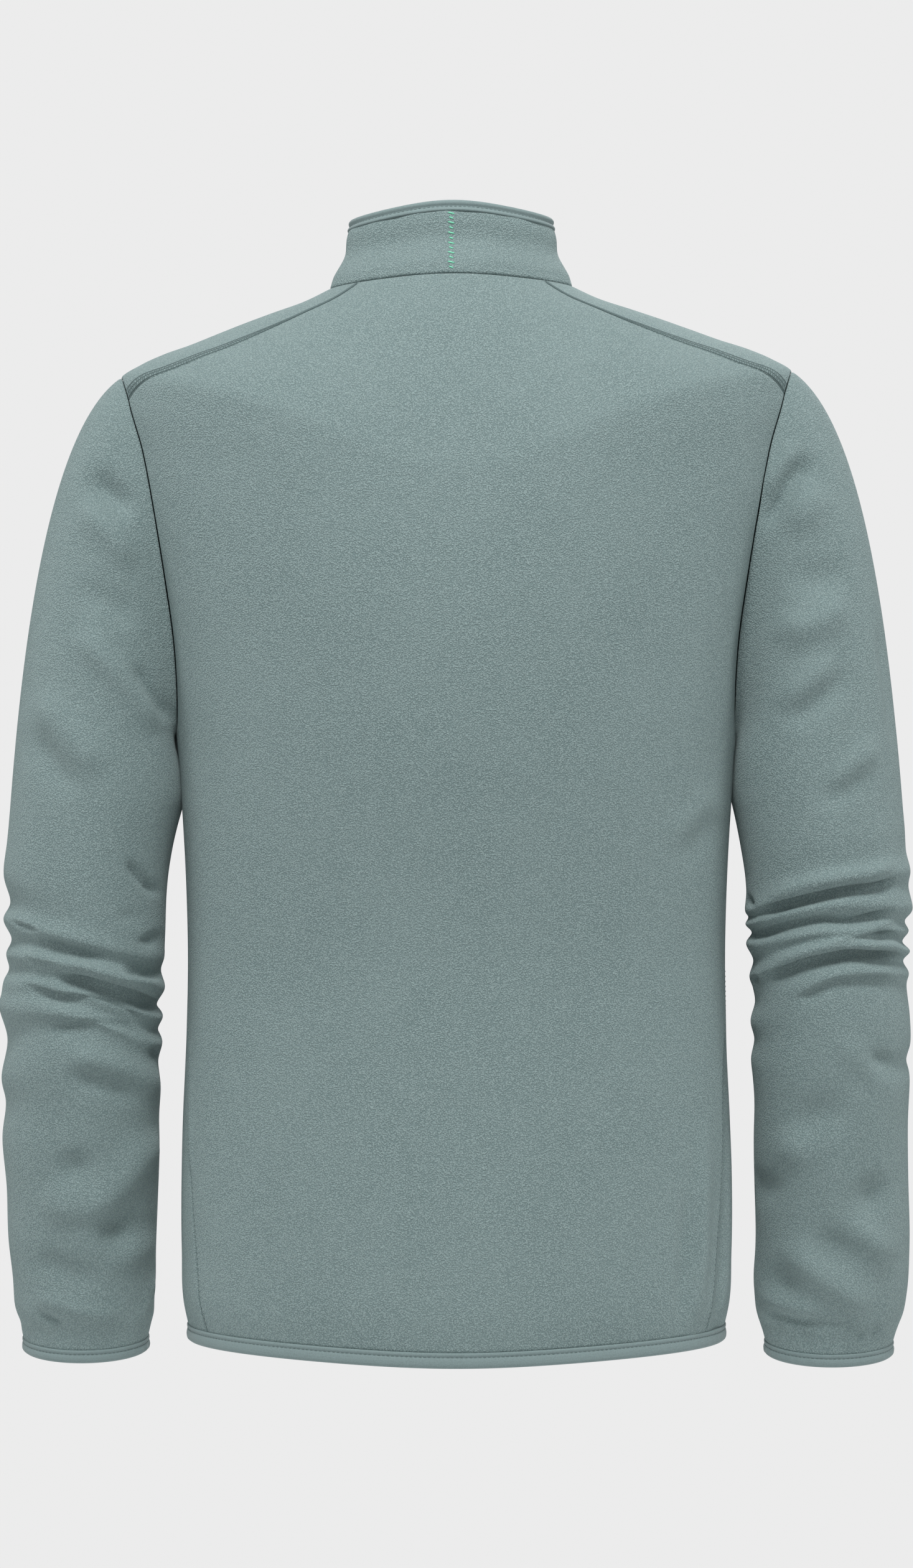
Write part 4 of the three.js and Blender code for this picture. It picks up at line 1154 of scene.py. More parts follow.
@dataclass
class Bodice(Form):
    """Back and fronts, cut from one surface round the body."""

    step: float = 0.4
    underarm: float = 400
    shoulder_tip: float = 641
    neck: float = 796
    back_swing: float = 13.5
    front_swing: float = 20
    armhole_roundness: float = 0.6
    seam_turn: float = 150
    neck_seam: float = 55
    seam_roll: float = 2.4
    seam_sink: float = 1.25
    front_knots: tuple[float, ...] = (0, 15, 32, 60, 100, 150, 200, 246, 290, 335, 372, 400)
    rings: dict[str, Curve] = field(default_factory=TORSO.curves)
    side: Curve = field(default_factory=lambda: SIDE_SEAM.curves()["angle"])
    shoulder: Curve = field(default_factory=lambda: SHOULDER_SEAM.curves()["angle"])
    valley_reach: float = 7.0
    valley_top: tuple[float, float] = (-130, -240)
    valley_foot: tuple[float, float] = (-325, -285)
    valley_turn: float = 25
    arm_steps: int = 96
    arm_ease: float = 1.35
    side_steps: int = 110
    side_ease: float = 1.25
    seam_ease: float = 0.9
    back_columns: int = 150
    front_columns: int = 90
    back_creases: tuple[Crease, ...] = creases(
        (2, 6, 13, 24, -174, -330, -158, -350, -136, -376),
        (-1.8, 9, 9, 20, -176, -350, -160, -370, -142, -390),
        (4.4, 5, 6, 60, -164, -545, -161, -640, -155, -706),
        (-4, 5, 6, 44, -151, -590, -150, -650, -145, -704),
        (1.0, 8, 10, 40, 152, -600, 150, -650, 146, -696),
        (1.5, 1.8, 2.6, 25, 181, -500, 179, -550, 176, -600),
    )
    front_creases: dict[Side, tuple[Crease, ...]] = field(
        default_factory=lambda: {Side.LEFT: LEFT_FRONT_CREASES, Side.RIGHT: RIGHT_FRONT_CREASES}
    )
    drop: float = 1.0

    def point(self, angle: Array, station: Array) -> Array:
        """A point of the cloth's face."""
        ring = {name: curve(station) for name, curve in self.rings.items()}
        lower = self.drop * smoothstep(station, 30, 0)
        return ring_point(ring, angle, ring["square"]) - stack(0, 0, lower)

    def armhole(self, turn: Array | float) -> tuple[Array, Array]:
        """The armhole's angle and station, turn 0 at the underarm and 90 behind."""
        swing = np.sin(np.radians(turn))
        width = np.where(swing > 0, self.back_swing, -self.front_swing)
        angle = 90 - width * np.abs(swing) ** self.armhole_roundness
        climb = (1 - np.cos(np.radians(turn))) / 2
        return angle, self.underarm + (self.shoulder_tip - self.underarm) * climb

    def armhole_point(self, turn: Array) -> Array:
        """A point of the armhole."""
        return self.point(*self.armhole(turn))

    def shoulder_seam(self, share: Array) -> tuple[Array, Array]:
        """The shoulder seam's angle and station, from the armhole at 0 to the neck at 1."""
        angle, station = self.armhole(self.seam_turn)
        at = station + (self.neck - station) * share
        return self.shoulder(at) + (angle - self.shoulder(station)) * (1 - share), at

    def zip_angle(self, depth: Array, x: float) -> Array:
        """The angle at which a ring passes a distance from the zip's middle."""
        return 180 - np.degrees(np.arcsin(x / depth))

    def _turns(self, start: float) -> Array:
        """Armhole turns from the underarm to the shoulder seam, finer at the seam."""
        share = 1 - (1 - np.linspace(0, 1, self.arm_steps)) ** self.arm_ease
        return start + (self.seam_turn - start) * share

    def _stations(self) -> Array:
        """Stations from the hem to the underarm, finer at the hem."""
        return self.underarm * np.linspace(0, 1, self.side_steps) ** self.side_ease

    def _panel(self, name: str, surface: Array, lift: Array, side: Side = Side.LEFT) -> Piece:
        """Makes a panel from its face, with the edges rolled in at the seams.

        Args:
            name: The panel's name.
            surface: The face's points.
            lift: The creases' lift at each point.
            side: Which side the left-hand points go to.

        Returns:
            The panel.
        """
        sink = rolled(distance_to(surface, border(surface)), self.seam_roll, self.seam_sink)
        return cloth_piece(name, surface + self._beside_armholes(surface, side), lift, sink, side)

    def _beside_armholes(self, surface: Array, side: Side) -> Array:
        """How a panel's cloth rolls in where the sleeves hang against it."""
        move = np.zeros_like(surface)
        for (start, end), (sign, owner) in product(((12, 140), (348, 220)), ((1, side), (-1, Side.RIGHT))):
            line = self.armhole_point(np.linspace(start, end, 160)) * np.array([sign, 1, 1])
            near = self.roll_in(surface, distance_to(surface, line), self.valley_reach, owner)
            move = np.where(np.abs(near) > np.abs(move), near, move)
        return move

    def roll_in(self, surface: Array, away: Array, reach: float, side: Side) -> Array:
        """How far cloth rolls in along Y beside an armhole, the same on both edges of the seam.

        Args:
            surface: The cloth's points.
            away: How far each point is from the armhole.
            reach: How far from it the cloth still turns in.
            side: Which armhole it is.

        Returns:
            A move for each point.
        """
        height = surface[..., 2]
        fade = smoothstep(height, *self.valley_top) * smoothstep(height, *self.valley_foot)
        inward = -np.clip(surface[..., 1] / self.valley_turn, -1, 1)
        return stack(0, inward * ARMPIT_VALLEYS[side] * fade * bell(away, reach), 0)

    def back(self) -> Piece:
        """Makes the back."""
        low = self._stations()
        turns = self._turns(0)[1:]
        seam = np.linspace(0, 1, self.side_steps)[1:] ** self.seam_ease
        arm_angle, arm_station = self.armhole(turns)
        seam_angle, seam_station = self.shoulder_seam(seam)
        angle = np.concatenate([self.side(low), arm_angle, seam_angle])
        station = np.concatenate([low, arm_station, seam_station])
        share = eased(self.back_columns)
        surface = self.point(angle[:, None] * (1 - 2 * share), station[:, None] + 0 * share)
        lift = creased(self.back_creases, surface[..., 0], surface[..., 2])
        return self._panel("back_cloth", surface, lift)

    def front_grid(self) -> Array:
        """The left front's face, in rows that fan out from the zip and the neck."""
        knots = range(len(self.front_knots))
        low = np.interp(self._stations(), self.front_knots, knots)
        high = ARM_ROW + (360 - self._turns(360)[1:]) / ROW_TURN
        row = np.concatenate([low, high])
        level = np.interp(row, knots, self.front_knots)
        below = row <= ARM_ROW
        arm_angle, arm_station = self.armhole(360 - ROW_TURN * (row - ARM_ROW))
        climb = np.clip((row - ARM_ROW) / (NECK_ROW - ARM_ROW), 0, 1)
        inner_station = np.where(below, level, self.underarm + (self.neck - self.underarm) * climb)
        corner = float(self.zip_angle(NECK_DEPTH, ZIP_HALF_GAP))
        neck_share = np.clip((row - NECK_ROW) / (LAST_ROW - NECK_ROW), 0, 1)
        at_zip = self.zip_angle(self.rings["front"](inner_station), ZIP_HALF_GAP)
        inner_angle = np.where(row <= NECK_ROW, at_zip, corner + (self.neck_seam - corner) * neck_share)
        share = eased(self.front_columns)
        sides = (
            (inner_angle, np.where(below, self.side(level), arm_angle)),
            (inner_station, np.where(below, level, arm_station)),
        )
        bent = []
        for (inner, outer), seam in zip(sides, self.shoulder_seam(1 - share)):
            bend = seam - (inner[-1] + (outer[-1] - inner[-1]) * share)
            bent.append(inner[:, None] + (outer - inner)[:, None] * share + (neck_share**2)[:, None] * bend)
        return self.point(*bent)

    def front(self, side: Side) -> Piece:
        """Makes a front."""
        surface = self.front_grid()
        lift = creased(self.front_creases[side], surface[..., 0], surface[..., 2])
        return self._panel(f"front_{side.word}_cloth", surface, lift, side)

    def build(self, finishes: Finishes) -> list[Piece]:
        """Makes and dresses the three panels.

        Args:
            finishes: The jacket's materials.

        Returns:
            The back and the two fronts.
        """
        made = [fit(self.back(), finishes.fleece, "back_panel")]
        for side in Side:
            made.append(fit(self.front(side), finishes.fleece, f"front_{side.word}"))
        return made


@dataclass
class Collar(Form):
    """The stand collar."""

    step: float = 0.005
    squareness: float = 2
    seam_roll: float = 2.2
    seam_sink: float = 1.3
    rings: dict[str, Curve] = field(default_factory=COLLAR.curves)

    def point(self, angle: Array, rise: Array) -> Array:
        """A point of the collar's face."""
        return ring_point({name: curve(rise) for name, curve in self.rings.items()}, angle, self.squareness)

    def angles(self, steps: int) -> Array:
        """Angles round the neck, from the left front's edge over the back to the right's."""
        corner = 180 - math.degrees(math.asin(ZIP_HALF_GAP / NECK_DEPTH))
        return corner * (1 - 2 * eased(steps, 0.8))

    def build(self, finishes: Finishes) -> Piece:
        """Makes and dresses the collar."""
        angle, rise = self.angles(230)[None], eased(34, 0.7)[:, None]
        surface = self.point(angle, rise)
        sink = rolled(distance_to(surface, border(surface)), self.seam_roll, self.seam_sink)
        wave = 0.35 * np.sin(angle / 9.0) * smoothstep(rise, 0.1, 0.5) + 0.25 * np.sin(angle / 4.1 + 1)
        hollow = 2.3 * bell(rise - 0.56, 0.2) - 1.2 * bell(rise - 0.17, 0.13)
        return fit(cloth_piece("collar_cloth", surface, wave - hollow, sink), finishes.fleece, "collar")


@dataclass
class Sleeve:
    """A set-in sleeve: a cap from the armhole, then the folded tube down to the cuff."""

    side: Side
    folds: Table
    bodice: Bodice
    behind: tuple[Crease, ...]
    in_front: tuple[Crease, ...]
    armpit: float
    valley_reach: float = 19.0
    lean: float = 3.8
    lean_reach: float = 29.0
    lean_turn: float = 55.0
    seam_radius: float = 54.0
    seam_width: float = 1.6
    seam_depth: float = 0.9
    drop: float = 3.0
    cap_rows: int = 8
    columns: int = 128
    cap_steps: int = 80
    cap_ease: float = 1.7
    tube_steps: int = 270
    ends: tuple[tuple[int, float, float], ...] = ((0, 2.0, 0.8), (-1, 3.0, 0.9))
    crease_blend: float = 0.3
    start: tuple[float, float, float] = (0.83, 0.25, -0.56)
    end: tuple[float, float, float] = (0.077, 0, -1)
    start_pull: float = 0.59
    end_pull: float = 1.1
    cuff_tilt: float = 0.13
    front_folds: float = 0.8
    tube: dict[str, Curve] = field(default_factory=SLEEVE.curves)

    def __post_init__(self) -> None:
        """Reads the fold table."""
        self.fold = self.folds.by_row()
        self.rows = self.cap_rows + len(self.folds.rows) - 1

    def _lower(self, turn: Array, row: Array) -> Array:
        """A point of the folded tube, at a row of the fold table."""
        at = {name: curve(row) for name, curve in self.fold.items()}
        outward = (1 - np.cos(np.radians(turn))) / 2
        behind = np.sin(np.radians(turn))
        share = np.where(behind > 0, 1, self.front_folds)

        def mix(inner: Array, outer: Array, back: Array) -> Array:
            """Blends the three columns round the arm."""
            return inner + (outer - inner) * outward + share * (back - (inner + outer) / 2) * behind**2

        height = mix(at["inner"], at["outer"], at["back"])
        lift = mix(at["lift_inner"], at["lift_outer"], at["lift_back"])
        tube = {name: curve(height) for name, curve in self.tube.items()}
        tilt = self.cuff_tilt * smoothstep(-height, 420, 560)
        return stack(
            tube["centre_x"] - (tube["half"] + lift) * np.cos(np.radians(turn)),
            tube["centre_y"] + (tube["depth"] + lift) * behind,
            height - tilt * tube["depth"] * behind,
        )

    def _cap(self, turn: Array, share: Array) -> Array:
        """A point of the cap, from the armhole at 0 to the tube at 1."""
        start = self.bodice.armhole_point(turn)
        end = self._lower(turn, np.zeros_like(turn))
        length = np.linalg.norm(end - start, axis=-1, keepdims=True)
        behind = np.sin(np.radians(turn))
        leave = unit(stack(self.start[0], self.start[1] * behind, self.start[2]))
        arrive = unit(stack(self.end[0], self.end[1] * behind, self.end[2]))
        t = share[..., None]
        rest = 1 - t
        return (
            start * (1 + 2 * t) * rest**2
            + end * t**2 * (3 - 2 * t)
            + leave * length * self.start_pull * t * rest**2
            - arrive * length * self.end_pull * t**2 * rest
        )

    def point(self, turn: Array, row: Array) -> Array:
        """A point of the sleeve's face, at a turn round it and a row down it."""
        turn, row = np.broadcast_arrays(np.asarray(turn, float), np.asarray(row, float))
        cap = self._cap(turn, np.clip(row / self.cap_rows, 0, 1))
        lower = self._lower(turn, np.maximum(row - self.cap_rows, 0))
        longer = self.drop * smoothstep(row, self.rows - 2, self.rows)
        return np.where((row < self.cap_rows)[..., None], cap, lower) - stack(0, 0, longer)

    def build(self, finishes: Finishes) -> Piece:
        """Makes and dresses the sleeve."""
        turn = np.arange(self.columns) * 360 / self.columns
        cap = self.cap_rows * np.linspace(0, 1, self.cap_steps) ** self.cap_ease
        lower = np.linspace(self.cap_rows, self.rows, self.tube_steps)[1:]
        row = np.concatenate([cap, lower])
        surface = self.point(turn[None], row[:, None])
        sideways, height = surface[..., 0], surface[..., 2]
        facing = np.sin(np.radians(turn))[None]
        lift = creased(self.behind, sideways, height) * smoothstep(facing, 0, self.crease_blend)
        lift = lift + creased(self.in_front, sideways, height) * smoothstep(-facing, 0, self.crease_blend)
        away = distance_to(surface, np.concatenate([surface[0], surface[0][:1]]))
        surface = surface + self.bodice.roll_in(surface, away, self.valley_reach, self.side)
        inside = np.minimum(turn, 360 - turn)[None]
        off = (inside / self.lean_turn) ** 2 + ((height - self.armpit) / self.lean_reach) ** 2
        lift = lift + self.lean * np.exp(-off)
        for row, width, depth in self.ends:
            end = surface[row]
            lift = lift - rolled(distance_to(surface, np.concatenate([end, end[:1]])), width, depth)
        seam = np.radians(inside) * self.seam_radius
        lift = lift - self.seam_depth * bell(seam, self.seam_width)
        name = f"sleeve_{self.side.word}"
        made = cloth_piece(f"{name}_cloth", surface, lift, 0, self.side, closed=True)
        return fit(made, finishes.fleece, name)


@dataclass
class Binding:
    """Elastic jersey folded over an edge of the fleece and stitched down."""

    name: str
    height: float
    face: float = 0.7
    wall: float = 3.6
    overlap: float = 1.0
    bulge: float = 0.55
    ripple: float = 0.16
    pitch: float = 7.0
    drift: float = 23.0
    breath: float = 37.0
    closed: bool = False
    side: Side = Side.LEFT

    def section(self) -> Array:
        """Distance along the band and height off the fleece's face, round the band's outline."""
        h, face = self.height, self.face
        out = [
            (-self.overlap, -0.3), (-self.overlap - 0.1, 0.5), (-0.5, 0.95), (0.3, 1.0), (1.0, 0.85),
            (1.5, 0.5), (1.9, 0.42), (2.3, 0.52), (2.8, 0.8), (0.44 * h, face + 0.7 * self.bulge),
            (0.6 * h, face + self.bulge), (0.76 * h, face + 0.8 * self.bulge), (h - 1.1, face + 0.1),
            (h - 0.5, face - 0.6), (h - 0.1, -0.5),
        ]
        middle = self.face - self.wall / 2
        back = [(along, 2 * middle - off) for along, off in reversed(out)]
        return np.array([*out, *back])

    def build(self, edge: Array, down: Array, out: Array) -> Piece:
        """Makes the band.

        Args:
            edge: Points along the fleece's edge, on its face.
            down: The way along the band at each point.
            out: The way off the fleece at each point.

        Returns:
            The band.
        """
        section = self.section()
        run = travelled(edge)
        waves = np.sin(2 * np.pi * run / self.pitch + 1.3 * np.sin(run / self.drift))
        waves = self.ripple * waves * (0.65 + 0.35 * np.sin(run / self.breath + 2))
        body = np.clip(section[:, 0] / self.height, 0, 1)
        swell = 4 * body * (1 - body)
        off = section[None, :, 1] + np.where(section[:, 1] > 0, 1, -1)[None] * swell[None] * waves[:, None]
        points = edge[:, None] + down[:, None] * section[None, :, :1] + out[:, None] * off[..., None]
        points = mirrored(points, self.side)
        columns, around = points.shape[:2]
        flat = settle(points.reshape(-1, 3)) * METRES
        at = np.arange(columns * around).reshape(columns, around)
        ahead = np.roll(at, -1, axis=0)
        if not self.closed:
            at, ahead = at[:-1], ahead[:-1]
        faces = quads_between(at, np.roll(at, -1, axis=1), np.roll(ahead, -1, axis=1), ahead)
        way = 1 if faces_out(flat, faces) else -1
        listed = faces[:, ::way].tolist()
        if not self.closed:
            first = np.arange(around)
            caps = (first, first[::-1] + (columns - 1) * around)
            listed += [cap[::-way].tolist() for cap in caps]
        return mesh_object(self.name, flat, listed)


@dataclass
class Bindings:
    """The four bound edges: collar, hem and both cuffs."""

    bodice: Bodice
    collar: Collar
    sleeves: dict[Side, Sleeve]
    hem_height: float = 9.4
    cuff_height: float = 8
    collar_height: float = 7.4
    stitch_line: float = 1.9
    seams: dict[str, tuple[Array, Array]] = field(default_factory=dict)

    def _band(self, edge: Array, down: Array, out: Array, band: Binding) -> Piece:
        """Makes a band, and keeps the line that its topstitch follows and the way off the cloth."""
        rim = (edge, down, out)
        if band.closed:
            rim = tuple(np.concatenate([a, a[:1]]) for a in rim)
        line = mirrored(rim[0] + rim[1] * self.stitch_line + rim[2] * 0.5, band.side)
        self.seams[band.name.removesuffix("_band")] = (settle(line) * METRES, mirrored(rim[2], band.side))
        return band.build(edge, down, out)

    def hem(self) -> Piece:
        """Makes the hem's band."""
        start = float(self.bodice.zip_angle(self.bodice.rings["front"](0), ZIP_HALF_GAP))
        angle = start * (1 - 2 * np.linspace(0, 1, 461))
        edge = self.bodice.point(angle, 0 * angle)
        out = unit(self.bodice.normal(angle, 0 * angle) * np.array([1, 1, 0]))
        down = np.broadcast_to(np.array([0.0, 0, -1]), edge.shape)
        return self._band(edge, down, out, Binding("hem_band", self.hem_height))

    def neck(self) -> Piece:
        """Makes the band round the collar's top."""
        angle = self.collar.angles(260)
        top = COLLAR.rows[-1][0]
        edge = self.collar.point(angle, 0 * angle + 1)
        up = unit(self.collar.point(angle, 0 * angle + top) - edge)
        out = self.collar.normal(angle, 0 * angle + (1 + top) / 2)
        band = Binding("collar_band", self.collar_height, bulge=1.5, ripple=0.08, pitch=9)
        return self._band(edge, up, out, band)

    def cuff(self, side: Side) -> Piece:
        """Makes a cuff's band."""
        sleeve = self.sleeves[side]
        turn = np.arange(180) * 2.0
        last = np.full(turn.shape, float(sleeve.rows))
        edge = sleeve.point(turn, last)
        around = sleeve.point(turn + 1, last) - sleeve.point(turn - 1, last)
        along = edge - sleeve.point(turn, last - 0.05)
        out = np.cross(around, along) * np.array([1, 1, 0])
        outward = np.sum(out * (edge - edge.mean(axis=0)))
        out = unit(out if outward > 0 else -out)
        down = np.broadcast_to(unit(np.array([0, -sleeve.cuff_tilt, -1])), edge.shape)
        name = f"cuff_{side.word}_band"
        band = Binding(name, self.cuff_height, ripple=0.3, pitch=8.5, closed=True, side=side)
        return self._band(edge, down, out, band)

    def build(self, finishes: Finishes) -> dict[str, Piece]:
        """Makes and dresses the four bands.

        Args:
            finishes: The jacket's materials.

        Returns:
            Each band by its edge's name.
        """
        made = {
            "hem": fit(self.hem(), finishes.binding, "hem_binding"),
            "collar": fit(self.neck(), finishes.binding, "collar_binding"),
        }
        for side in Side:
            node = f"cuff_binding_{side.word}"
            made[f"cuff_{side.word}"] = fit(self.cuff(side), finishes.binding, node)
        return made


TOOTH = (
    (-0.9, -0.42), (0.5, -0.42), (0.9, -0.78), (1.35, -0.62),
    (1.35, 0.62), (0.9, 0.78), (0.5, 0.42), (-0.9, 0.42),
)


@dataclass
class Zip:
    """The closed front zip: tapes, teeth, box, slider and pull tab."""

    bodice: Bodice
    collar: Collar
    tape: float = 0.8
    behind: float = 0.7
    reach: float = 14
    near: float = 3.15
    half_thickness: float = 1.3
    chain_top: float = 2.5
    box_size: tuple[float, float, float] = (6, 4.4, 12)
    tooth_pitch: float = 1.7
    tooth_scale: tuple[float, float] = (1.55, 0.92)
    tooth_reach: float = 1.45
    tooth_middle: float = 0.9
    tooth_layers: tuple[tuple[float, float], ...] = ((-1.25, 0.82), (-0.9, 1), (0.9, 1), (1.25, 0.82))
    slider_size: tuple[float, float, float] = (8.4, 1.1, 11)
    clearance: float = 0.35
    post: float = 2
    bail: tuple[float, float, float, float] = (2.4, 7, 4.6, 1.2)
    tab: tuple[float, float, float] = (7, 26, 1.5)
    tab_bar: float = 1.7
    tab_frame: float = 1.6
    tab_eye: float = 6.6
    pivot: float = 1.9
    levels: tuple[float, ...] = (479.2, 558.4, 637.6, 716.8, 796)
    rises: tuple[float, ...] = (0.12, 0.3, 0.5, 0.75, 1)

    def _surfaces(self) -> list[tuple[Surface, Surface, dict[str, Curve], tuple[float, ...]]]:
        """The fronts' and the collar's surface, normal, rings and levels, from the foot up."""
        below = (*self.bodice.front_knots, *self.levels)
        return [
            (self.bodice.point, self.bodice.normal, self.bodice.rings, below),
            (self.collar.point, self.collar.normal, self.collar.rings, self.rises),
        ]

    def middle(self) -> Array:
        """The zip's middle line, from its foot to its top, in millimetres."""
        line = []
        sunk = CLOTH + self.behind + self.tape / 2
        for surface, normal, rings, levels in self._surfaces():
            at = np.array(levels, float)
            angle = self.bodice.zip_angle(rings["front"](at), self.near)
            line.append((surface(angle, at) - normal(angle, at) * sunk) * np.array([0, 1, 1]))
        return np.concatenate(line)

    def along(self, line: Array, distance: float) -> tuple[Array, Array]:
        """A point of a line and its heading, at a distance from its start."""
        run = travelled(line)
        i = int(np.searchsorted(run, distance, side="right")) - 1
        heading = unit(line[i + 1] - line[i])
        return line[i] + heading * (distance - run[i]), heading

    def tapes(self, finishes: Finishes) -> list[Piece]:
        """Makes and dresses the two tapes."""
        faces: list[list[Array]] = [[], []]
        share = np.linspace(0, 1, 9)
        for surface, normal, rings, levels in self._surfaces():
            knots = np.arange(len(levels))
            fine = np.interp(np.linspace(0, knots[-1], 12 * knots[-1] + 1), knots, levels)
            x = self.reach + (self.near - self.reach) * share
            depth = rings["front"](fine)[:, None]
            angle = self.bodice.zip_angle(depth, x[None])
            at = fine[:, None] + 0 * x
            point, out = surface(angle, at), normal(angle, at)
            bead = 0.35 * bell(share - 0.93, 0.06)[None, :, None]
            faces[0].append(point - out * (CLOTH + self.behind - bead))
            faces[1].append(point - out * (CLOTH + self.behind + self.tape))
        outer, inner = (np.concatenate(parts) for parts in faces)
        made = []
        for side in Side:
            piece = shell(f"tape_{side.word}_cloth", mirrored(outer, side), mirrored(inner, side))
            made.append(fit(piece, finishes.tape, f"zip_tape_{side.word}"))
        return made

    def teeth(self, finishes: Finishes) -> Piece:
        """Makes and dresses the closed rows of teeth."""
        line = self.middle()
        length = travelled(line)[-1]
        first, last = self.box_size[2] + SEAM_GAP, length - self.chain_top
        count = int((last - first) / self.tooth_pitch)
        outline = np.array(TOOTH) * np.array(self.tooth_scale)
        points: list[Array] = []
        faces: list[list[int]] = []
        around, layers = len(outline), len(self.tooth_layers)
        for k in range(2 * count):
            sign = 1 if k % 2 else -1
            place, heading = self.along(line, first + (k // 2 + 0.25 + 0.5 * (k % 2)) * self.tooth_pitch)
            off = np.cross(ACROSS, heading)
            off = off if off[1] < 0 else -off
            x = sign * (self.tooth_reach - outline[:, 0])
            for lift, inset in self.tooth_layers:
                middle = sign * self.tooth_middle * (1 - inset)
                flat = np.stack([x * inset + middle, outline[:, 1] * inset], axis=1)
                points.append(settle(place) + flat[:, :1] * ACROSS + flat[:, 1:] * heading + off * lift)
            at = np.arange(layers * around).reshape(layers, around) + k * layers * around
            ahead = np.roll(at, -1, axis=1)
            faces += quads_between(at[:-1], ahead[:-1], ahead[1:], at[1:])[:, ::sign].tolist()
            faces += [at[0, ::-sign].tolist(), at[-1, ::sign].tolist()]
        made = mesh_object("zip_teeth", np.concatenate(points) * METRES, faces)
        return fit(made, finishes.plastic, "zip_chain")

    def _blocks(
        self, name: str, blocks: Sequence[tuple[Sequence[float], Sequence[float]]], bevel: float
    ) -> Piece:
        """Makes rounded blocks, joined into one mesh about its own origin.

        Args:
            name: The object's name.
            blocks: Each block's size and middle, in millimetres.
            bevel: Width of the rounded edges in millimetres.

        Returns:
            The object, its corners rounded.
        """
        corners = np.array([(x, y, z) for z in (-1, 1) for y in (-1, 1) for x in (-1, 1)]) / 2
        sides = [(0, 2, 3, 1), (4, 5, 7, 6), (0, 1, 5, 4), (2, 6, 7, 3), (0, 4, 6, 2), (1, 3, 7, 5)]
        points, faces = [], []
        for k, (size, middle) in enumerate(blocks):
            points.append(corners * np.array(size) + np.array(middle))
            faces += [[8 * k + i for i in side] for side in sides]
        made = mesh_object(name, np.concatenate(points) * METRES, faces)
        rounding = made.modifiers.new("rounding", "BEVEL")
        rounding.width, rounding.segments = bevel * METRES, 3
        return made

    def _place(self, piece: Piece, origin: Array, up: Array, offset: Array) -> None:
        """Applies a piece's modifiers and moves its mesh to its place on the zip.

        Args:
            piece: The piece, made about its own origin.
            origin: The frame's origin in millimetres.
            up: The way up the zip.
            offset: The piece's origin in that frame, in millimetres.
        """
        graph = bpy.context.evaluated_depsgraph_get()
        mesh = bpy.data.meshes.new_from_object(piece.evaluated_get(graph))
        piece.modifiers.clear()
        piece.data = mesh
        turn = np.stack([ACROSS, np.cross(up, ACROSS), up], axis=1)
        points = np.array([v.co for v in mesh.vertices])
        moved = (points + offset * METRES) @ turn.T + origin * METRES
        mesh.vertices.foreach_set("co", moved.ravel())
        mesh.update()

    def box(self, finishes: Finishes) -> Piece:
        """Makes and dresses the box at the zip's foot."""
        width, thickness, height = self.box_size
        blocks = [
            ((width, thickness, height), (0, 0, height / 2)),
            ((width * 0.6, thickness + 0.5, height * 0.62), (0, 0, height * 0.42)),
        ]
        made = self._blocks("zip_foot_box", blocks, 0.6)
        line = self.middle()
        _, up = self.along(line, 0)
        self._place(made, settle(line[0]), up, np.zeros(3))
        return fit(made, finishes.plastic, "zip_box")

    def slider(self, finishes: Finishes) -> tuple[Piece, Piece]:
        """Makes and dresses the slider with its bail, and the pull tab on its hinge."""
        line = self.middle()[::-1]
        top, heading = self.along(line, self.chain_top)
        width, plate, length = self.slider_size
        origin = settle(top + heading * (length / 2 - self.post - self.clearance))
        up = -heading
        mouth = self.half_thickness + self.clearance
        face = mouth + plate
        bail_width, bail_length, bail_height, wire = self.bail
        reach = bail_height + plate / 2
        leg = (bail_width, reach, wire)
        leg_y = -face - bail_height + reach / 2
        leg_z = (bail_length - wire) / 2
        middle_y = (mouth + face) / 2
        rim = width / 2 - 0.4
        blocks = [
            ((width, plate, length), (0, -middle_y, 0)),
            ((width, plate, length), (0, middle_y, 0)),
            ((width * 0.82, plate, length * 0.55), (0, -middle_y - 0.28, length * 0.16)),
            ((5.4, 2 * face - plate, self.post), (0, 0, (length - self.post) / 2)),
            *(((0.8, mouth * 0.9, length * 0.5), (x, -mouth * 0.6, -length * 0.2)) for x in (rim, -rim)),
            *((leg, (0, leg_y, z)) for z in (leg_z, -leg_z)),
            ((bail_width, wire, bail_length), (0, -face - bail_height + wire / 2, 0)),
        ]
        body = self._blocks("slider_body", blocks, 0.28)
        self._place(body, origin, up, np.zeros(3))
        tab_width, tab_length, thickness = self.tab
        head = self.tab_bar / 2
        foot = head - tab_length
        side = self.tab_frame
        rail = (tab_width - side) / 2
        eye = head - self.tab_bar - self.tab_eye
        parts = [
            ((tab_width, thickness, self.tab_bar), (0, 0, 0)),
            *(((side, thickness, self.tab_eye + 2), (x, 0, -head - self.tab_eye / 2)) for x in (rail, -rail)),
            ((tab_width, thickness, eye - foot), (0, 0, (eye + foot) / 2)),
            ((tab_width * 0.62, thickness + 0.3, (eye - foot) * 0.72), (0, 0, (eye + foot) / 2)),
        ]
        tab = self._blocks("pull_tab_plate", parts, 0.35)
        self._place(tab, origin, up, np.array([0, -face - self.pivot, 0]))
        fit(body, finishes.metal, "zip_slider")
        return body, fit(tab, finishes.metal, "zip_pull", body="pull_tab")

    def build(self, finishes: Finishes) -> list[Piece]:
        """Makes the whole zip.

        Args:
            finishes: The jacket's materials.

        Returns:
            The two tapes.
        """
        self.teeth(finishes)
        self.box(finishes)
        self.slider(finishes)
        return self.tapes(finishes)


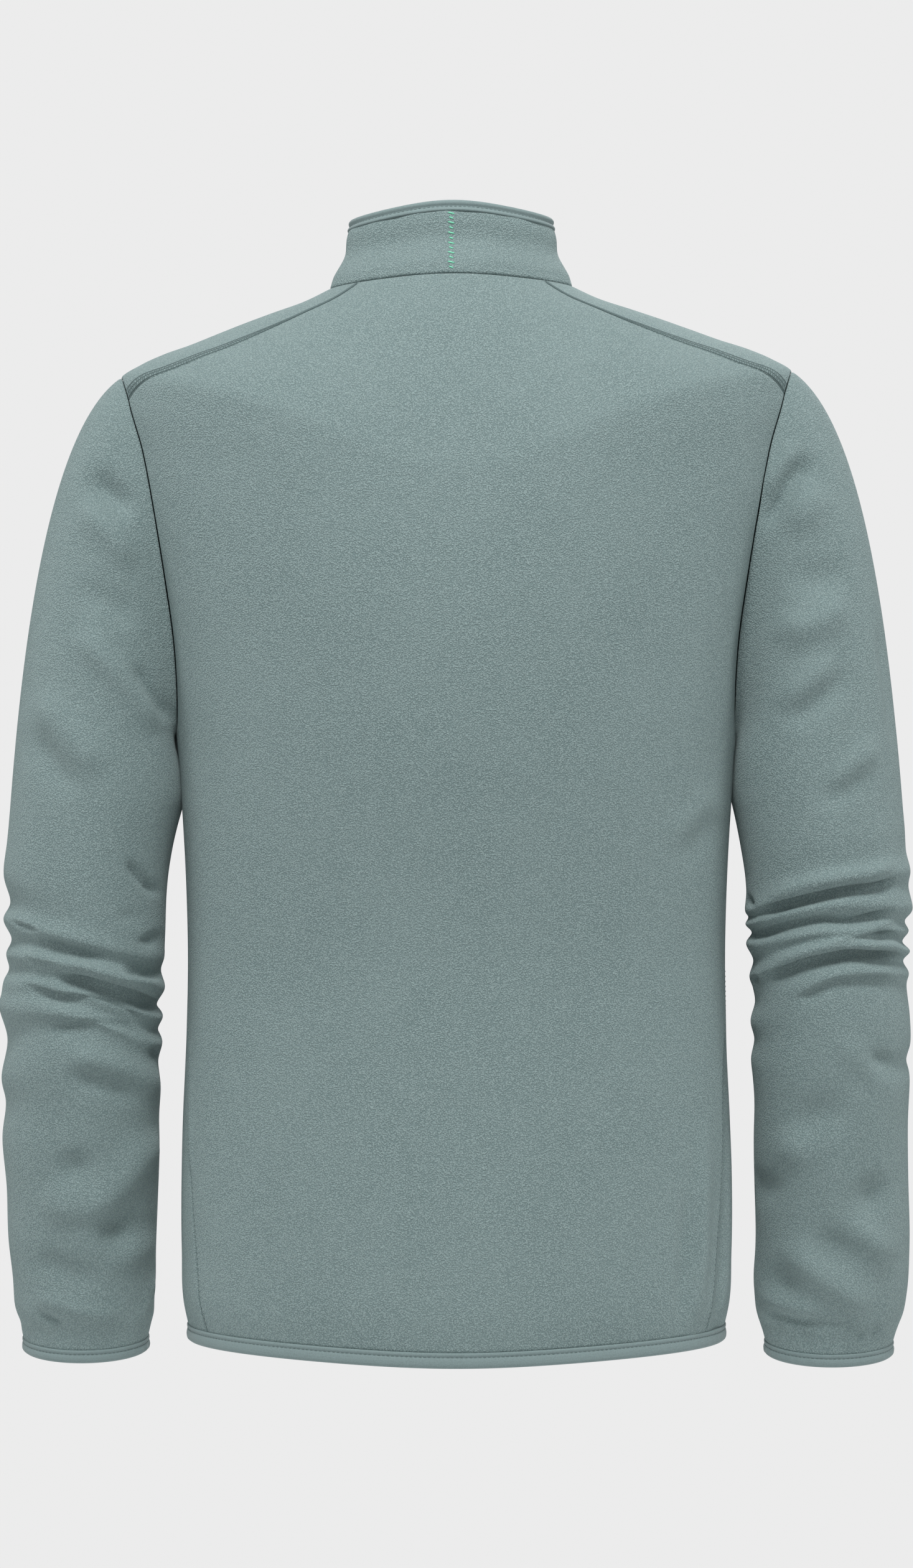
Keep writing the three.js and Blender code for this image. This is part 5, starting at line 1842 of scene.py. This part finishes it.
@dataclass
class Stitching:
    """All the sewing that shows."""

    bodice: Bodice
    collar: Collar
    bindings: Bindings
    thread: float = 0.17
    stitch: float = 2.5
    gap: float = 0.7
    cover_width: float = 6.8
    cover_pitch: float = 1.9
    cover_start: float = 0.0006
    cover_radius: float = 0.00034
    cover_rows: tuple[float, ...] = (0.08, 0.5, 0.95)
    zigzag_pitch: float = 0.0018
    zigzag_radius: float = 0.0003
    motif_halves: tuple[float, float] = (1.9, 3.0)
    motif_radius: float = 0.00048
    lift: float = 0.0001
    fine_step: float = 0.0003
    shoulder_run: tuple[float, float] = (0.005, 0.985)
    side_start: float = 3
    zigzag_sway: tuple[float, float] = (0.0025, 0.0002)
    zip_run: tuple[float, float] = (4, 790)
    zip_offset: float = 4.5
    motif_run: tuple[float, float] = (0.07, 0.93)
    motif_bars: int = 12
    motif_slant: float = 0.012
    zigzag_top: dict[Side, float] = field(default_factory=lambda: {Side.LEFT: 132, Side.RIGHT: 240})

    def _line(self, side: Side, angle: Array, station: Array) -> tuple[Array, Array]:
        """A line on the bodice in metres, and the way off the cloth along it."""
        line = settle(mirrored(self.bodice.point(angle, station), side)) * METRES
        return line, mirrored(self.bodice.normal(angle, station), side)

    def dashes(self, name: str, line: Array, out: Array, ground: Ground) -> Piece:
        """Makes a row of straight stitches.

        Args:
            name: The row's name.
            line: Where it runs, in metres.
            out: The way off the cloth at each point.
            ground: The cloth that it lies on.

        Returns:
            The row.
        """
        fine = evenly(line, self.fine_step)
        share = np.linspace(0, 1, len(fine))
        off = between(share, np.linspace(0, 1, len(out)), out)
        laid = ground.lay(fine, off, 0)
        off = unit(off)
        step = np.linalg.norm(fine[1] - fine[0])
        size, pitch = int(self.stitch * METRES / step), int((self.stitch + self.gap) * METRES / step)
        bow = np.sin(np.pi * np.linspace(0, 1, size + 1))[:, None] ** 0.5
        lines = []
        for start in range(0, len(laid) - size, pitch):
            part = slice(start, start + size + 1)
            raised = laid[part] + off[part] * self.thread * METRES * (1.4 * bow - 0.6)
            lines.append(raised[:: max(1, size // 4)])
        return tubes(name, lines, self.thread * METRES)

    def shoulder(self, side: Side, ground: Ground) -> Piece:
        """Makes the cover stitch along a shoulder seam, on the front panel's side of it."""
        share = np.linspace(*self.shoulder_run, 400)
        seam, out = self._line(side, *self.bodice.shoulder_seam(share))
        line = evenly(seam, self.cover_pitch * METRES)
        t = np.linspace(0, 1, len(line))
        off = unit(between(t, share / share[-1], out))
        heading = unit(np.gradient(line, axis=0))
        forward = unit(np.cross(off, heading))
        forward = forward * np.sign(-forward[:, 1:2])
        width = self.cover_width * METRES * (0.16 + 0.84 * smoothstep(1 - t, 0.22, 0.66))
        lines = []
        for shift in self.cover_rows:
            row = line + forward * (width * shift + self.cover_start)[:, None]
            lines.append(ground.lay(row, off, self.lift))
        slant = 0.45 * self.cover_pitch * METRES
        for k in range(1, len(line) - 1):
            shares = np.linspace(0, 1, 6)[:, None]
            sway = (1 if k % 2 else -1) * slant
            ahead = self.cover_start + width[k] * shares
            cross = line[k] + forward[k] * ahead + heading[k] * sway * (shares - 0.5)
            lines.append(ground.lay(cross, np.repeat(off[k : k + 1], 6, axis=0), self.lift))
        return tubes(f"shoulder_stitch_{side.word}", lines, self.cover_radius, 5)

    def side_seam(self, side: Side, ground: Ground) -> Piece:
        """Makes the small zigzag that closes a side seam."""
        station = np.linspace(self.side_start, self.zigzag_top[side], 800)
        seam, out = self._line(side, self.bodice.side(station), station)
        line = evenly(seam, self.zigzag_pitch)
        t = np.linspace(0, 1, len(line))
        off = unit(between(t, np.linspace(0, 1, len(out)), out))
        across = unit(np.cross(off, np.gradient(line, axis=0)))
        backward = across * np.sign(across[:, 1:2])
        sway = np.array(self.zigzag_sway)[np.arange(len(line)) % 2][:, None]
        laid = ground.lay(line + backward * sway, off, self.lift)
        return tubes(f"side_stitch_{side.word}", [laid], self.zigzag_radius, 5)

    def motif(self, ground: Ground) -> Piece:
        """Makes a plain column of short slanted bars up the collar's centre back."""
        lines = []
        for k, rise in enumerate(np.linspace(*self.motif_run, self.motif_bars)):
            half = self.motif_halves[k % 2]
            x = np.linspace(-half, half, 5)
            angle = np.degrees(np.arcsin(x / self.collar.rings["half"](rise)))
            lift = rise + self.motif_slant * x / half
            flat = settle(self.collar.point(angle, lift)) * METRES
            off = self.collar.normal(angle, lift)
            lines.append(ground.lay(flat, off, 2 * self.lift))
        return tubes("collar_motif", lines, self.motif_radius, 8)

    def build(
        self, finishes: Finishes, cloth: dict[str, Piece], bands: dict[str, Piece]
    ) -> dict[str, list[Piece]]:
        """Makes and dresses every row of stitches.

        Args:
            finishes: The jacket's materials.
            cloth: The cloth pieces by name.
            bands: The bound edges by name.

        Returns:
            The rows that lie on each cloth piece or band.
        """
        made: dict[str, list[Piece]] = {"back": []}
        for side in Side:
            name = f"front_{side.word}"
            front, back = cloth[name], cloth["back"]
            made[name] = [fit(self.shoulder(side, Ground(front, back)), finishes.thread)]
            made["back"].append(fit(self.side_seam(side, Ground(back, front)), finishes.thread))
            made[name].append(self.zip_row(side, finishes, front))
        for name, (line, out) in self.bindings.seams.items():
            row = self.dashes(f"{name}_stitch", line, out, Ground(bands[name]))
            made[name] = [fit(row, finishes.thread)]
        motif = self.motif(Ground(cloth["collar"]))
        made["collar_cloth"] = [fit(motif, finishes.mint)]
        return made

    def zip_row(self, side: Side, finishes: Finishes, front: Piece) -> Piece:
        """Makes and dresses the topstitch beside the zip on a front."""
        station = np.linspace(*self.zip_run, 900)
        angle = self.bodice.zip_angle(self.bodice.rings["front"](station), ZIP_HALF_GAP + self.zip_offset)
        line, out = self._line(side, angle, station)
        row = self.dashes(f"zip_stitch_{side.word}", line, out, Ground(front))
        return fit(row, finishes.thread)


@dataclass(frozen=True)
class Cut:
    """The flat size that a cloth piece is cut to.

    Attributes:
        width: Width in metres.
        length: Length in metres.
        area: Flat area in square metres, where it isn't a rectangle.
        held: How the piece is held.
        sewn_to: The names of the pieces that it is sewn to, with a gap where the side stands.
    """

    width: float
    length: float
    area: float | None
    held: str
    sewn_to: tuple[str, ...]


CUTS = {
    "back_cloth": Cut(0.50, 0.73, 0.318, "hung", ("collar_cloth", "hem_band")),
    "front_{}_cloth": Cut(0.30, 0.76, 0.160, "hung", ("back_cloth", "collar_cloth", "hem_band")),
    "collar_cloth": Cut(0.50, 0.05, 0.021, "draped", ("back_cloth",)),
    "sleeve_{}_cloth": Cut(0.50, 0.67, 0.200, "gathered", ("back_cloth", "cuff_{}_band")),
    "collar_band": Cut(0.45, 0.011, None, "folded", ("collar_cloth",)),
    "hem_band": Cut(0.96, 0.0132, None, "folded", ("back_cloth",)),
    "cuff_{}_band": Cut(0.262, 0.0118, None, "folded", ("sleeve_{}_cloth",)),
    "tape_{}_cloth": Cut(0.011, 0.73, None, "hung", ("front_{}_cloth",)),
}


def declare(piece: Piece, stitches: Sequence[Piece]) -> None:
    """Works out how a cloth piece was cut; the result is neither kept nor passed on.

    Args:
        piece: The cloth piece.
        stitches: The rows of stitches on it.
    """
    word = next((side.word for side in Side if f"_{side.word}_" in piece.name), "")
    cut = CUTS[piece.name.replace(f"_{word}_", "_{}_") if word else piece.name]
    sewn_to = [name.format(word) for name in cut.sewn_to]
    extra = {} if cut.area is None else {"area": cut.area}
    if stitches:
        extra["with_pieces"] = list(stitches)


@dataclass(frozen=True)
class Studio:
    """A pale floor, soft light and the camera."""

    camera_at: tuple[float, float, float] = (0, 3.0, -0.334)
    lens: float = 36 * 3000 / 1058.4
    floor_height: float = -1.15
    floor_radius: float = 1.7
    paper: float = 0.838
    lamps: tuple[tuple, ...] = (
        ("key_above_back", (0.1, 1.75, 2.1), (0, 0.05, -0.3), 0.8, 73),
        ("key_low_back", (-0.2, 2.9, -0.3), (0, 0.05, -0.4), 1.3, 10),
        ("side_left", (2.3, 0.75, 0.8), (0.1, 0, -0.4), 0.8, 13),
        ("side_right", (-2.3, 0.75, 0.8), (-0.1, 0, -0.4), 0.8, 14),
        ("fill_front", (-0.4, -2.4, 1.2), (0, 0, -0.35), 1.8, 44),
        ("rim_left", (2.2, -0.7, 0.1), (0.1, 0, -0.4), 1.2, 8),
        ("rim_right", (-2.2, -0.7, 0.1), (-0.1, 0, -0.4), 1.2, 8),
    )

    def _lamp(
        self, name: str, at: Sequence[float], towards: Sequence[float], size: float, watts: float
    ) -> None:
        """Adds a soft square lamp that hangs at a place and faces another."""
        light = bpy.data.lights.new(name, "AREA")
        light.shape, light.size, light.energy = "SQUARE", size, watts
        lamp = bpy.data.objects.new(name, light)
        lamp.location = at
        lamp.rotation_euler = (Vector(towards) - Vector(at)).to_track_quat("-Z", "Y").to_euler()
        bpy.context.scene.collection.objects.link(lamp)

    def _floor(self) -> None:
        """Adds the round floor, which fades into the backdrop at its rim."""
        rings, spokes = 24, 96
        radius = self.floor_radius * np.linspace(0, 1, rings + 1)[1:]
        turn = np.linspace(0, 2 * np.pi, spokes, endpoint=False)
        x, y = radius[:, None] * np.cos(turn), radius[:, None] * np.sin(turn)
        points = np.concatenate([[(0, 0, 0)], stack(x, y, 0).reshape(-1, 3)])
        faces = [[0, 1 + j, 1 + (j + 1) % spokes] for j in range(spokes)]
        for i in range(rings - 1):
            for j in range(spokes):
                a, b = 1 + i * spokes + j, 1 + i * spokes + (j + 1) % spokes
                faces.append([a, a + spokes, b + spokes, b])
        floor = mesh_object("studio_floor", points + np.array([0, 0, self.floor_height]), faces)
        made, graph, shader = blank_material("pale_floor")
        where = graph.node("TexCoord").outputs["Object"]
        flat = graph.vector("MULTIPLY", where, (1, 1, 0))
        away = graph.node("VectorMath", {0: flat}, operation="LENGTH").outputs["Value"]
        grain = graph.noise(30, 2, where).outputs[0]
        edge = graph.rescale(away, self.floor_radius, self.floor_radius * 0.45)
        tone = graph.math("MULTIPLY_ADD", grain, 0.01, 0.8)
        colour = graph.node("CombineColor", {0: tone, 1: tone, 2: tone}).outputs[0]
        graph.fill(shader, {"Base Color": colour, "Alpha": edge, "Roughness": 0.9})
        floor.data.materials.append(made)
        floor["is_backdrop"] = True

    def _world(self) -> None:
        """Sets the pale backdrop, and the softer light that it sheds."""
        world = bpy.data.worlds.new("studio_paper")
        bpy.context.scene.world = world
        world.use_nodes = True
        graph = Graph(world.node_tree)
        world.node_tree.nodes.clear()
        seen = graph.node("Background", {"Color": (self.paper,) * 3 + (1,), "Strength": 1})
        shed = graph.node("Background", {"Color": (0.97, 0.985, 1, 1), "Strength": 0.30})
        ray = graph.node("LightPath").outputs["Is Camera Ray"]
        mixed = graph.node("MixShader", {0: ray, 1: shed.outputs[0], 2: seen.outputs[0]})
        graph.node("OutputWorld", {"Surface": mixed.outputs[0]})

    def build(self) -> None:
        """Sets up the camera, the lights and the floor."""
        scene = bpy.context.scene
        scene.view_settings.view_transform = "Standard"
        camera = bpy.data.cameras.new("camera")
        camera.lens = self.lens
        placed = bpy.data.objects.new("camera", camera)
        placed.location = self.camera_at
        placed.rotation_euler = (math.pi / 2, 0, math.pi)
        scene.collection.objects.link(placed)
        scene.camera = placed
        for lamp in self.lamps:
            self._lamp(*lamp)
        self._floor()
        self._world()


def main() -> None:
    """Builds the jacket and its studio."""
    logging.basicConfig(level=logging.INFO, format="%(message)s")
    Studio().build()
    finishes = Finishes()
    bodice, collar = Bodice(), Collar()
    sleeves = {
        Side.LEFT: Sleeve(Side.LEFT, LEFT_FOLDS, bodice, LEFT_BEHIND, LEFT_IN_FRONT, -330),
        Side.RIGHT: Sleeve(Side.RIGHT, RIGHT_FOLDS, bodice, RIGHT_BEHIND, RIGHT_IN_FRONT, -314),
    }
    back, *fronts = bodice.build(finishes)
    cloth = {"back": back, "collar": collar.build(finishes)}
    for side, front in zip(Side, fronts):
        cloth[f"front_{side.word}"] = front
        cloth[f"sleeve_{side.word}"] = sleeves[side].build(finishes)
    bindings = Bindings(bodice, collar, sleeves)
    bands = bindings.build(finishes)
    tapes = Zip(bodice, collar).build(finishes)
    rows = Stitching(bodice, collar, bindings).build(finishes, cloth, bands)
    for name, piece in cloth.items():
        declare(piece, rows.get("collar_cloth" if name == "collar" else name, []))
    for name, piece in bands.items():
        declare(piece, rows.get(name, []))
    for piece in tapes:
        declare(piece, [])
    boxes = {"cad": CAD_BOX, "visual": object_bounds()}
    {name: [list(corner) for corner in box] for name, box in boxes.items()}


if __name__ == "__main__":
    main()
